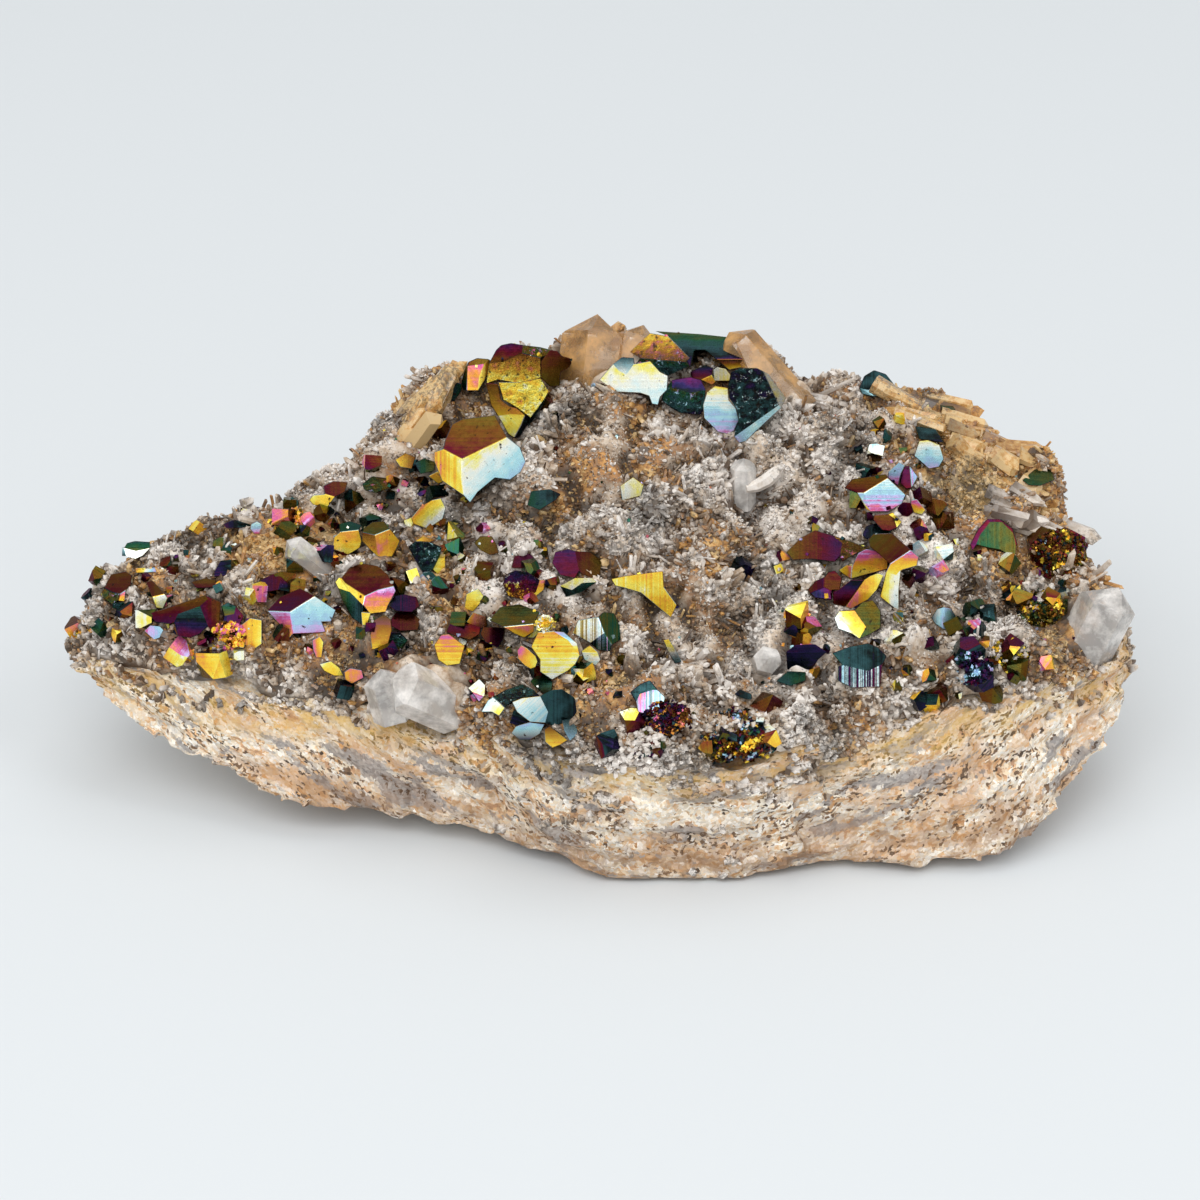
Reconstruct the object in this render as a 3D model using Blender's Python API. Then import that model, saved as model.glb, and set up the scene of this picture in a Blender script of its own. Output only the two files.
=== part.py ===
"""Rainbow pyrite on quartz: a cabinet specimen 120 mm long, lying on a small flat spot.

A broken block of pale granite carries a crust of small quartz points on its sloping top. Single and
intergrown pyrite crystals, and a few larger quartz crystals, sit in pockets of that crust.
The construction is worked out in millimetres and written in metres, +Z up. The origin is on the flat
spot that the stone rests on.
"""

import math
import random

import bmesh
import bpy
from mathutils import Matrix, Vector, noise

METRES_PER_MM = 0.001
GAP = 0.3
MERGE = 0.000001 / METRES_PER_MM
FLAT_WITHIN = math.radians(0.2)

# The view that places on the stone are read in: pixels of a square picture 1200 pixels wide
PICTURE_CENTRE_PX = (600, 600)
MM_PER_PX = 0.112
VIEW_ELEVATION = math.radians(30)
VIEW_DISTANCE = 500.0
VIEW_TARGET = Vector((-9.0, 10.0, 19.2))
RIGHT = Vector((1, 0, 0))
UP = Vector((0, math.sin(VIEW_ELEVATION), math.cos(VIEW_ELEVATION)))
TOWARD = Vector((0, -math.cos(VIEW_ELEVATION), math.sin(VIEW_ELEVATION)))
EYE = VIEW_TARGET + TOWARD * VIEW_DISTANCE

# The block: its plan is drawn round this axis, in columns of points spaced evenly along the rim
AXIS = Vector((-9.0, 10.0))
COLUMNS = 58
BED_SHARES = (0.28, 0.56, 0.82)
WALL_SHARES = (0.25, 0.5, 0.76)
KEEL_SHARES = (0.5,)
FOOT_CENTRE = Vector((5.0, 4.0))
FOOT_HALF = Vector((19.0, 19.0))
KEEL_CLEARANCE = 0.25
ROUGHNESS = ((11.0, 1.5), (4.6, 0.8))

# The bed is the granite's top face, a slope with a crown, mounds and hollows
BED_HEIGHT = 18.6
BED_SLOPE = 0.33
BED_FEATURES = {
    "back mound": ((652, 478), 13.0, 4.6),
    "right mound": ((760, 610), 8.0, 2.2),
    "right shoulder": ((840, 440), 9.0, 2.4),
    "centre hollow": ((742, 566), 4.5, -3.0),
    "left hollow": ((345, 600), 8.0, -1.6),
    "left swell": ((215, 555), 7.0, 1.4),
    "front swell": ((620, 700), 7.0, 1.2),
}

# The crust of quartz on the bed
CRUST_REACH = 0.975
CRUST_THICKNESS = 3.3
CRUST_LEAST = 1.1
CRUST_EDGE_THINNING = 1.4
CRUST_LUMPS = ((9.0, 2.8), (4.6, 2.2))
CRUST_GRID = 4.5
CRUST_SPAN = Vector((130.0, 74.0))
POINT_COUNT = 7
POINT_LENGTH = (3.4, 5.4)
POINT_RADIUS = (0.6, 1.0)
POINT_SUNK = 0.5
PRISM_SIDES = 6

# A pyritohedron is bounded by the twelve faces of the form 210
GOLDEN_FACES = [
    Vector(face).normalized()
    for a in (2, -2)
    for b in (1, -1)
    for face in ((a, b, 0), (0, a, b), (b, 0, a))
]
CUBE_FACES = [Vector(face) for face in ((1, 0, 0), (-1, 0, 0), (0, 1, 0), (0, -1, 0), (0, 0, 1), (0, 0, -1))]
ACROSS_PER_DISTANCE = 2.35
UNEVEN = 0.11
CUBE_TRIM = 1.02
CUBE_TRIM_FROM = 7.0
POCKET_HOLDS = 3
# How a crystal is turned to the view: the crystal's direction that is aimed, and the one that spin starts from
AIMS = {
    "corner": (Vector((1, 1, 1)).normalized(), Vector((2, 1, 0)).normalized()),
    "edge": (Vector((1, 0, 0)), Vector((0, 0, 1))),
    "face": (Vector((2, 1, 0)).normalized(), Vector((-1, 2, 0)).normalized()),
}

MATERIALS = {
    "granite": ((0.62, 0.50, 0.37), 0.85, 0.0),
    "quartz": ((0.66, 0.62, 0.56), 0.4, 0.0),
    "clear_quartz": ((0.72, 0.71, 0.69), 0.15, 0.0),
    "pyrite": ((0.62, 0.45, 0.20), 0.22, 1.0),
}


def at(px, py, height):
    """The point on the sight line of a pixel that is at this height."""
    ray = sight_ray(px, py)
    return EYE + ray * ((height - EYE.z) / ray.z)


def sight_ray(px, py):
    """The direction from the eye through a pixel."""
    across = (px - PICTURE_CENTRE_PX[0]) * MM_PER_PX
    upward = (PICTURE_CENTRE_PX[1] - py) * MM_PER_PX
    return (RIGHT * across + UP * upward - TOWARD * VIEW_DISTANCE).normalized()


# The rim is the granite's upper edge, round from the left tip by the back. Each is a pixel and a height.
RIM = [
    at(61, 642, 17.0),
    at(83, 606, 18.5),
    at(118, 566, 20.4),
    at(185, 541, 22.2),
    at(250, 517, 23.9),
    at(310, 492, 25.6),
    at(360, 462, 27.0),
    at(390, 410, 29.7),
    at(432, 382, 31.2),
    at(500, 372, 31.9),
    at(575, 354, 33.2),
    at(645, 350, 33.5),
    at(740, 362, 32.8),
    at(830, 388, 31.4),
    at(900, 396, 31.0),
    at(960, 412, 30.1),
    at(1012, 452, 27.8),
    at(1066, 488, 25.8),
    at(1076, 522, 24.0),
    at(1092, 564, 22.0),
    at(1118, 602, 20.0),
    at(1135, 640, 18.2),
    at(1112, 660, 18.0),
    at(1050, 680, 18.2),
    at(1000, 694, 17.6),
    at(930, 708, 16.8),
    at(850, 737, 15.6),
    at(760, 764, 15.0),
    at(650, 770, 15.0),
    at(560, 760, 14.8),
    at(500, 741, 14.6),
    at(430, 717, 14.6),
    at(350, 704, 14.6),
    at(250, 692, 15.0),
    at(180, 682, 15.6),
    at(110, 664, 16.2),
]

# The chine is the block's lower edge. Its front is seen, and its back is given in millimetres.
CHINE = [
    at(60, 656, 15.4),
    Vector((-66.0, 12.0, 15.8)),
    Vector((-56.0, 21.0, 15.0)),
    Vector((-42.0, 29.0, 13.0)),
    Vector((-26.0, 37.0, 10.0)),
    Vector((-6.0, 40.0, 8.0)),
    Vector((14.0, 38.0, 8.5)),
    Vector((30.0, 30.0, 9.5)),
    Vector((41.0, 20.0, 11.0)),
    Vector((48.0, 9.0, 12.5)),
    at(1136, 668, 14.2),
    at(1126, 713, 11.4),
    at(1099, 763, 7.8),
    at(1063, 807, 5.0),
    at(1040, 838, 2.8),
    at(1002, 863, 1.5),
    at(940, 870, 1.2),
    at(860, 858, 1.2),
    at(800, 872, 0.8),
    at(740, 881, 0.5),
    at(600, 881, 0.5),
    at(560, 865, 1.2),
    at(520, 850, 1.6),
    at(462, 825, 2.5),
    at(398, 823, 2.8),
    at(335, 806, 3.6),
    at(297, 811, 3.8),
    at(240, 787, 5.3),
    at(160, 744, 8.4),
    at(95, 700, 12.0),
]

# Each pyrite node is a list of crystals, joined where they overlap: pixel, size across, aim, where the aim
# points right and up in the picture, spin in degrees, and how far the centre stands proud of the crust in radii
PYRITES = {
    "pyrite_gold_large": [((480, 458), 10.2, "corner", (-0.30, -0.05), 0, 0.25)],
    "pyrite_back_left_cluster": [
        ((506, 382), 9.2, "corner", (-0.12, 0.16), 12, 0.35),
        ((538, 378), 7.2, "corner", (0.25, 0.05), -20, 0.3),
        ((516, 400), 6.8, "corner", (0.10, -0.25), 170, 0.3),
        ((480, 382), 5.2, "corner", (-0.35, 0.0), 25, 0.3),
    ],
    "pyrite_back_centre_cluster": [
        ((703, 370), 10.4, "corner", (0.18, 0.10), -18, 0.5),
        ((651, 378), 9.4, "corner", (-0.12, 0.28), 176, 0.45),
        ((754, 404), 8.4, "corner", (0.22, -0.10), -30, 0.35),
        ((684, 394), 5.0, "corner", (-0.1, 0.0), 40, 0.5),
        ((722, 408), 5.2, "face", (-0.1, -0.2), 30, 0.5),
        ((728, 372), 3.8, "corner", (0.1, -0.3), 90, 1.2),
    ],
    "pyrite_back_right_ball": [((877, 386), 3.9, "corner", (0.05, -0.05), 0, 0.9)],
    "pyrite_pink_disc": [((928, 455), 3.9, "face", (0.0, -0.12), 8, 0.55)],
    "pyrite_cyan_cluster": [
        ((885, 496), 5.4, "face", (-0.05, -0.2), -24, 0.5),
        ((864, 486), 4.0, "edge", (-0.2, 0.1), 60, 0.2),
        ((907, 509), 2.9, "corner", (0.1, 0.0), 40, 0.4),
        ((918, 506), 2.9, "corner", (-0.2, -0.1), 10, 0.5),
        ((894, 520), 3.6, "face", (0.0, 0.2), 10, 0.4),
    ],
    "pyrite_right_cluster": [
        ((822, 555), 8.0, "corner", (0.32, -0.1), 10, 0.15),
        ((826, 582), 4.2, "edge", (0.0, 0.2), 8, 0.4),
        ((862, 563), 5.6, "face", (0.0, -0.35), 24, 0.5),
        ((893, 556), 7.2, "corner", (0.05, -0.12), 6, 0.35),
        ((906, 588), 5.4, "corner", (-0.30, -0.1), 8, 0.35),
        ((868, 612), 5.8, "corner", (0.1, 0.28), 180, 0.3),
        ((866, 588), 4.6, "face", (-0.3, -0.2), 40, 0.4),
        ((848, 617), 4.8, "face", (-0.25, -0.3), 30, 0.4),
    ],
    "pyrite_dark_green_small": [((868, 525), 2.6, "corner", (0.1, 0.0), 0, -0.1)],
    "pyrite_teal_comb": [((861, 666), 6.4, "edge", (0.0, 0.12), 94, 0.35)],
    "pyrite_teal_left": [
        ((806, 661), 5.2, "corner", (0.1, -0.15), 0, 0.2),
        ((797, 680), 4.2, "corner", (0.0, -0.5), 0, 0.3),
    ],
    "pyrite_blue_cone": [((943, 618), 3.4, "edge", (0.0, -0.05), 4, 0.3)],
    "pyrite_green_wedge": [((996, 539), 5.6, "edge", (0.0, 0.2), 0, 0.3)],
    "pyrite_copper_mound": [
        ((1047, 550), 5.0, "corner", (-0.2, 0.2), 30, 0.2),
        ((1068, 550), 5.0, "face", (0.2, 0.3), 0, 0.25),
        ((1064, 567), 5.0, "corner", (0.0, -0.2), 80, 0.3),
    ],
    "pyrite_gold_mound": [
        ((1034, 604), 4.2, "corner", (-0.2, 0.1), 60, 0.2),
        ((1050, 608), 4.0, "corner", (0.2, 0.0), 20, 0.3),
    ],
    "pyrite_green_edge": [((1038, 478), 3.8, "edge", (0.1, 0.3), 70, 0.35)],
    "pyrite_green_back": [((926, 429), 2.8, "corner", (0.1, 0.1), 20, 0.3)],
    "pyrite_grain_column": [
        ((968, 654), 3.8, "corner", (0.0, 0.2), 0, 0.2),
        ((980, 676), 3.8, "corner", (0.2, 0.0), 80, 0.2),
    ],
    "pyrite_left_tip": [((138, 556), 3.8, "edge", (-0.05, 0.05), 88, 0.8)],
    "pyrite_maroon_left": [((117, 585), 4.0, "corner", (0.15, -0.38), 8, 0.4)],
    "pyrite_yellow_left": [((156, 594), 3.6, "corner", (0.1, -0.4), 20, 0.35)],
    "pyrite_left_cluster": [
        ((197, 617), 5.6, "corner", (0.22, 0.18), 174, 0.4),
        ((207, 590), 4.6, "edge", (0.0, 0.1), 90, 0.1),
        ((233, 613), 5.0, "corner", (0.1, 0.2), 60, 0.15),
        ((249, 634), 4.0, "corner", (-0.3, 0.0), 20, 0.35),
    ],
    "pyrite_rainbow_large": [
        ((304, 612), 8.3, "corner", (-0.36, -0.04), 3, 0.3),
        ((274, 585), 4.4, "corner", (0.2, -0.1), 190, 0.3),
    ],
    "pyrite_amber_cluster": [
        ((368, 589), 7.4, "corner", (-0.1, -0.2), -8, 0.35),
        ((379, 618), 4.8, "corner", (0.0, 0.0), 160, 0.1),
        ((403, 607), 4.6, "corner", (0.1, -0.2), 0, 0.2),
    ],
    "pyrite_yellow_pair": [
        ((350, 541), 4.8, "face", (0.0, -0.25), 180, 0.35),
        ((381, 541), 5.0, "face", (0.1, -0.3), 150, 0.4),
    ],
    "pyrite_violet_small": [((240, 527), 3.8, "corner", (0.0, -0.5), 0, 0.2)],
    "pyrite_brown_back": [
        ((337, 488), 4.4, "corner", (-0.2, -0.2), 0, 0.2),
        ((320, 497), 3.2, "face", (0.0, -0.3), 10, 0.3),
    ],
    "pyrite_olive_back": [((376, 484), 3.6, "corner", (0.2, 0.0), 50, 0.2)],
    "pyrite_gold_small": [((406, 461), 2.8, "face", (-0.2, 0.0), 40, 0.4)],
    "pyrite_gold_block": [((430, 509), 5.0, "corner", (-0.1, -0.25), 25, 0.3)],
    "pyrite_dark_cluster": [((425, 556), 5.2, "corner", (0.0, -0.3), 0, 0.25)],
    "pyrite_olive_small": [((486, 545), 3.2, "corner", (-0.1, -0.2), 30, 0.3)],
    "pyrite_burgundy_ball": [
        ((522, 576), 4.4, "corner", (0.0, 0.0), 50, 0.25),
        ((523, 562), 3.8, "corner", (0.0, -0.4), 0, 0.3),
    ],
    "pyrite_purple_olive": [((574, 563), 6.0, "corner", (-0.1, -0.35), 20, 0.2)],
    "pyrite_yellow_pentagon": [((475, 601), 3.3, "face", (-0.1, -0.2), 20, 0.6)],
    "pyrite_burgundy_cluster": [
        ((450, 650), 4.2, "face", (-0.15, -0.3), 0, 0.45),
        ((463, 632), 4.6, "corner", (0.1, -0.5), 10, 0.25),
        ((496, 635), 4.8, "corner", (-0.1, -0.4), 0, 0.3),
        ((526, 619), 6.4, "corner", (0.1, -0.4), 0, 0.2),
    ],
    "pyrite_sun": [
        ((557, 656), 6.0, "face", (0.0, -0.12), 20, 0.6),
        ((526, 663), 3.6, "face", (-0.3, -0.2), 10, 0.45),
    ],
    "pyrite_striped": [((595, 633), 6.0, "edge", (0.1, 0.1), -30, 0.2)],
    "pyrite_teal_large": [
        ((528, 708), 8.0, "corner", (0.15, 0.1), 190, 0.25),
        ((561, 706), 6.0, "corner", (0.0, -0.1), 60, 0.25),
        ((542, 727), 4.8, "corner", (0.0, -0.2), 0, 0.3),
    ],
    "pyrite_bright_plate": [((647, 592), 7.2, "face", (-0.05, -0.25), -30, 0.3)],
    "pyrite_green_shard": [((545, 498), 3.6, "corner", (0.0, -0.3), 30, 0.25)],
    "pyrite_white_pentagon": [((632, 489), 2.8, "face", (0.1, -0.1), 10, 0.6)],
    "pyrite_blue_copper_cluster": [
        ((649, 697), 4.6, "corner", (0.0, 0.0), 30, 0.3),
        ((664, 717), 4.8, "corner", (0.1, 0.1), 70, 0.2),
        ((684, 712), 3.6, "corner", (-0.1, 0.0), 0, 0.2),
    ],
    "pyrite_grain_patch": [
        ((722, 742), 4.6, "corner", (0.0, 0.2), 40, 0.0),
        ((748, 740), 4.6, "corner", (0.2, 0.1), 10, 0.0),
    ],
    "pyrite_teal_curved": [((679, 645), 3.8, "corner", (0.2, 0.2), 60, 0.2)],
    "pyrite_navy_small": [((743, 696), 2.8, "corner", (0.0, 0.0), 0, 0.2)],
}

# Each larger quartz node is a list of crystals: the pixel of its middle, half of its length, its radius, the
# direction of its point right, up and toward the viewer, how proud it stands in radii, and its flatness
QUARTZES = {
    "quartz_prism_back_right": [((766, 374), 6.2, 2.4, (-0.62, 0.72, -0.1), 0.9, 1.0)],
    "quartz_peaks_back": [
        ((592, 358), 5.0, 4.0, (0.10, 0.95, -0.1), 0.2, 0.8),
        ((633, 354), 3.6, 2.6, (0.30, 0.85, -0.1), 0.3, 0.9),
    ],
    "quartz_pair_front_left": [
        ((424, 696), 4.4, 3.0, (-0.75, 0.35, 0.5), 0.1, 0.9),
        ((388, 693), 3.0, 2.4, (-0.2, 0.8, 0.4), 0.1, 0.9),
    ],
    "quartz_block_right": [((1098, 622), 4.6, 3.4, (0.35, 0.75, 0.35), 0.0, 0.8)],
    "quartz_blade_left": [((311, 561), 3.6, 1.9, (-0.7, 0.55, 0.3), 0.4, 0.6)],
    "quartz_point_centre": [((743, 484), 2.9, 1.5, (0.0, 0.95, 0.3), 0.7, 1.0)],
    "quartz_hexagon_front": [((766, 662), 2.3, 1.6, (0.1, 0.2, 0.95), 0.6, 1.0)],
}


def material(name):
    """The Principled material of this name, made once."""
    found = bpy.data.materials.get(name)
    if found:
        return found
    colour, roughness, metallic = MATERIALS[name]
    made = bpy.data.materials.new(name)
    made.use_nodes = True
    shader = made.node_tree.nodes["Principled BSDF"]
    shader.inputs["Base Color"].default_value = (*colour, 1.0)
    shader.inputs["Roughness"].default_value = roughness
    shader.inputs["Metallic"].default_value = metallic
    return made


def cross_from_axis(points, angle):
    """Where a ray from the axis at this angle crosses a closed run of points, with its height."""
    ray = Vector((math.cos(angle), math.sin(angle)))
    for start, end in zip(points, points[1:] + points[:1]):
        a = start.xy - AXIS
        b = end.xy - AXIS
        side_a = ray.cross(a)
        side_b = ray.cross(b)
        if side_a * side_b <= 0 and side_a != side_b:
            share = side_a / (side_a - side_b)
            if (a + (b - a) * share).dot(ray) > 0:
                return start.lerp(end, share)
    raise ValueError("the outline doesn't go round the axis")


def evenly_along(points, count):
    """This many points, spaced evenly along a closed run of points."""
    spans = list(zip(points, points[1:] + points[:1]))
    lengths = [(end - start).length for start, end in spans]
    step = sum(lengths) / count
    placed = []
    passed = 0.0
    for (start, end), length in zip(spans, lengths):
        while len(placed) * step < passed + length and len(placed) < count:
            placed.append(start.lerp(end, (len(placed) * step - passed) / length))
        passed += length
    return placed


RIM_COLUMNS = evenly_along(RIM, COLUMNS)
COLUMN_ANGLES = [math.atan2(p.y - AXIS.y, p.x - AXIS.x) for p in RIM_COLUMNS]


def rough(point, scales):
    """Noise at a point, summed over (wavelength, height) pairs."""
    return sum(height * noise.noise(point / wavelength) for wavelength, height in scales)


def share_and_rim(x, y):
    """How far out a plan point is, from 0 at the axis to 1 at the rim, and the rim point beyond it."""
    out = Vector((x, y)) - AXIS
    rim = cross_from_axis(RIM_COLUMNS, math.atan2(out.y, out.x))
    return out.length / (rim.xy - AXIS).length, rim


def slope_height(x, y):
    """The bed's plain slope, without its features."""
    share, rim = share_and_rim(x, y)
    edge = rim.z - BED_HEIGHT - BED_SLOPE * rim.y
    return BED_HEIGHT + BED_SLOPE * y + edge * min(share, 1.0) ** 3


def meet(px, py, height_at):
    """Where a pixel's sight line, coming from the eye, meets the surface height_at(x, y), or None."""
    ray = sight_ray(px, py)
    near, far = VIEW_DISTANCE - 70.0, VIEW_DISTANCE + 70.0
    step = 1.0
    along = near
    while along < far:
        point = EYE + ray * along
        if share_and_rim(point.x, point.y)[0] < 1.0 and point.z < height_at(point.x, point.y):
            break
        along += step
    else:
        return None
    low, high = along - step, along
    for _ in range(12):
        middle = (low + high) / 2
        point = EYE + ray * middle
        if point.z < height_at(point.x, point.y):
            high = middle
        else:
            low = middle
    return EYE + ray * high


FEATURE_PLACES = [
    (meet(*pixel, slope_height).xy, width, height) for pixel, width, height in BED_FEATURES.values()
]


def bed_height(x, y):
    """The height of the granite's top face."""
    share = min(share_and_rim(x, y)[0], 1.0)
    features = sum(
        height * math.exp(-(((x - place.x) ** 2 + (y - place.y) ** 2) / (2 * width**2)))
        for place, width, height in FEATURE_PLACES
    )
    return slope_height(x, y) + features * (1 - share**4)


def crust_height(x, y):
    """The height of the quartz crust's upper face."""
    share = min(share_and_rim(x, y)[0], 1.0)
    lumps = rough(Vector((x, y, 0.0)), CRUST_LUMPS)
    thickness = CRUST_THICKNESS + lumps - CRUST_EDGE_THINNING * share**6
    return bed_height(x, y) + GAP + max(thickness, CRUST_LEAST)


def object_from(bm, name, slot, collection):
    """A mesh object of this name and material, from a bmesh that is then freed."""
    mesh = bpy.data.meshes.new(name)
    bm.normal_update()
    bmesh.ops.recalc_face_normals(bm, faces=bm.faces[:])
    bm.to_mesh(mesh)
    bm.free()
    mesh.materials.append(material(slot))
    made = bpy.data.objects.new(name, mesh)
    collection.objects.link(made)
    return made


def ring_loft(bm, rings):
    """Faces between rings of equal length, each a list of vertices round the axis."""
    for inner, outer in zip(rings, rings[1:]):
        for i, vertex in enumerate(inner):
            j = (i + 1) % len(inner)
            bm.faces.new((vertex, outer[i], outer[j], inner[j]))


def fan(bm, ring, point):
    """Closes a ring with triangles to one point."""
    tip = bm.verts.new(point)
    for i, vertex in enumerate(ring):
        bm.faces.new((tip, vertex, ring[(i + 1) % len(ring)]))


def plan_ring(bm, share, height_at):
    """Vertices at a share of the way from the axis to the rim, on a surface."""
    ring = []
    for rim in RIM_COLUMNS:
        place = AXIS.lerp(rim.xy, share)
        ring.append(bm.verts.new((place.x, place.y, height_at(place.x, place.y))))
    return ring


def jagged(point, outward):
    """A point of the broken sides, moved in or out by the fracture's roughness."""
    return point + outward * rough(point, ROUGHNESS)


def build_granite(collection):
    """The block: the bed, the broken walls, the undercut keel and the flat foot."""
    bm = bmesh.new()
    rings = [plan_ring(bm, share, bed_height) for share in BED_SHARES]
    fan(bm, rings[0], (AXIS.x, AXIS.y, bed_height(*AXIS)))
    walls = [[] for _ in range(1 + len(WALL_SHARES) + 1 + len(KEEL_SHARES) + 1)]
    for rim, angle in zip(RIM_COLUMNS, COLUMN_ANGLES):
        outward = Vector((math.cos(angle), math.sin(angle), 0.0))
        chine = cross_from_axis(CHINE, angle)
        foot_scale = 1 / math.hypot(outward.x / FOOT_HALF.x, outward.y / FOOT_HALF.y)
        foot = Vector((*FOOT_CENTRE, 0.0)) + outward * foot_scale
        column = [rim]
        column += [jagged(rim.lerp(chine, share), outward) for share in WALL_SHARES]
        column += [chine]
        column += [jagged(chine.lerp(foot, share), Vector((0, 0, 0.5))) for share in KEEL_SHARES]
        column = [Vector((p.x, p.y, max(p.z, KEEL_CLEARANCE))) for p in column] + [foot]
        for level, point in zip(walls, column):
            level.append(bm.verts.new(point))
    ring_loft(bm, rings + walls)
    bmesh.ops.triangulate(bm, faces=bm.faces[:])
    bm.faces.new(walls[-1])
    return object_from(bm, "granite_block", "granite", collection)


def build_crust(collection, helpers):
    """The quartz crust: a lower face 0.3 mm over the bed, a lumpy upper face, and a broken edge."""
    envelope = bmesh.new()
    under = [plan_ring(envelope, share, lambda x, y: bed_height(x, y) + GAP) for share in BED_SHARES]
    edge_low = plan_ring(envelope, CRUST_REACH, lambda x, y: bed_height(x, y) + GAP + 0.15)
    edge_high = plan_ring(envelope, CRUST_REACH, lambda x, y: bed_height(x, y) + CRUST_SPAN.y)
    fan(envelope, under[0], (AXIS.x, AXIS.y, bed_height(*AXIS) + GAP))
    fan(envelope, edge_high, (AXIS.x, AXIS.y, bed_height(*AXIS) + CRUST_SPAN.y))
    ring_loft(envelope, under + [edge_low, edge_high])
    bmesh.ops.triangulate(envelope, faces=envelope.faces[:])
    envelope = object_from(envelope, "crust_envelope", "quartz", helpers)

    field = bmesh.new()
    cells = [round(span / CRUST_GRID) for span in CRUST_SPAN]
    bmesh.ops.create_grid(field, x_segments=cells[0], y_segments=cells[1], size=0.5)
    stretch = Matrix.Diagonal((*CRUST_SPAN, 1.0, 1.0))
    bmesh.ops.transform(field, matrix=Matrix.Translation((*AXIS, 0.0)) @ stretch, verts=field.verts)
    sheet = field.faces[:]
    lifted = bmesh.ops.extrude_face_region(field, geom=sheet)
    for vertex in lifted["geom"]:
        if isinstance(vertex, bmesh.types.BMVert):
            shift = Vector((vertex.co.x, vertex.co.y, 0.0)) / CRUST_GRID
            vertex.co.x += CRUST_GRID * 0.3 * noise.noise(shift * 3.7)
            vertex.co.y += CRUST_GRID * 0.3 * noise.noise(shift * 4.3)
            vertex.co.z = crust_height(vertex.co.x, vertex.co.y)
    bmesh.ops.triangulate(field, faces=field.faces[:])
    crust = object_from(field, "quartz_crust", "quartz", collection)
    combine(crust, "INTERSECT", [envelope])
    return crust


def trimmed_solid(planes, reach):
    """A convex crystal as a bmesh: a cube trimmed by its faces, each a normal and a distance."""
    bm = bmesh.new()
    bmesh.ops.create_cube(bm, size=2 * reach)
    for normal, distance in planes:
        cut = bmesh.ops.bisect_plane(
            bm,
            geom=bm.verts[:] + bm.edges[:] + bm.faces[:],
            plane_co=normal * distance,
            plane_no=normal,
            clear_outer=True,
        )
        rim = [part for part in cut["geom_cut"] if isinstance(part, bmesh.types.BMEdge)]
        if rim:
            bmesh.ops.contextual_create(bm, geom=rim)
    return bm


def aimed(aim, right, up, spin):
    """The turn that points a crystal's aimed direction right and up in the picture, then spins it."""
    own_aim, own_start = AIMS[aim]
    toward = math.sqrt(max(0.0, 1 - right**2 - up**2))
    goal = (RIGHT * right + UP * up + TOWARD * toward).normalized()
    own_side = (own_start - own_aim * own_start.dot(own_aim)).normalized()
    goal_side = (UP - goal * UP.dot(goal)).normalized()
    own_frame = Matrix((own_side, own_aim.cross(own_side), own_aim)).transposed()
    goal_frame = Matrix((goal_side, goal.cross(goal_side), goal)).transposed()
    spun = Matrix.Rotation(math.radians(spin), 3, goal)
    return spun @ goal_frame @ own_frame.transposed()


def seat(pixel, proud):
    """A crystal's centre: on the pixel's sight line, this far out of the crust towards the eye.

    A crystal that shows above the stone's skyline stands as far off as the crust just below it.
    """
    px, py = pixel
    ground = meet(px, py, crust_height)
    while ground is None:
        py += 2
        ground = meet(px, py, crust_height)
    return EYE + sight_ray(*pixel) * ((ground - EYE).length - proud)


def pyrite_planes(size, grow, unevenness):
    """The faces of a pyritohedron of this size across, grown all over by grow, with uneven distances."""
    distance = size / ACROSS_PER_DISTANCE
    planes = [
        (face, distance * (1 + unevenness.uniform(-UNEVEN, UNEVEN)) + grow) for face in GOLDEN_FACES
    ]
    if size < CUBE_TRIM_FROM or grow:
        return planes
    return planes + [(face, distance * CUBE_TRIM) for face in CUBE_FACES]


def pyrite_crystal(name, row, grow, collection):
    """One pyritohedron in its place, as an object."""
    pixel, size, aim, (right, up), spin, proud = row
    unevenness = random.Random(f"{pixel} {size}")
    bm = trimmed_solid(pyrite_planes(size, grow, unevenness), size)
    bm.transform(aimed(aim, right, up, spin).to_4x4())
    bm.transform(Matrix.Translation(seat(pixel, proud * size / 2)))
    return object_from(bm, name, "pyrite", collection)


def quartz_planes(half_length, radius, flatness, grow, unevenness):
    """The faces of a quartz crystal along Z: six sides, a blunt point of six faces, and a flat base."""
    planes = []
    for i in range(PRISM_SIDES):
        turn = math.tau * i / PRISM_SIDES
        side = Vector((math.cos(turn), math.sin(turn), 0.0))
        squeeze = flatness + (1 - flatness) * abs(side.x)
        planes.append((side, radius * 0.87 * squeeze + grow))
        point = (side * 0.62 + Vector((0, 0, 0.78))).normalized()
        planes.append((point, half_length * unevenness.uniform(0.76, 0.92) + grow))
    planes.append((Vector((0, 0, -1)), half_length + grow))
    return planes


def stood(direction, unevenness):
    """The turn that stands a crystal's Z along a direction, at an uneven spin."""
    upright = direction.normalized().to_track_quat("Z", "Y").to_matrix()
    return upright @ Matrix.Rotation(unevenness.uniform(0, math.tau), 3, "Z")


def quartz_crystal(name, row, grow, collection):
    """One larger quartz crystal in its place, as an object."""
    pixel, half_length, radius, (right, up, toward), proud, flatness = row
    unevenness = random.Random(f"{pixel} {radius}")
    planes = quartz_planes(half_length, radius, flatness, grow, unevenness)
    bm = trimmed_solid(planes, half_length * 2)
    bm.transform(stood(RIGHT * right + UP * up + TOWARD * toward, unevenness).to_4x4())
    bm.transform(Matrix.Translation(seat(pixel, proud * radius)))
    return object_from(bm, name, "clear_quartz", collection)


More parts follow.
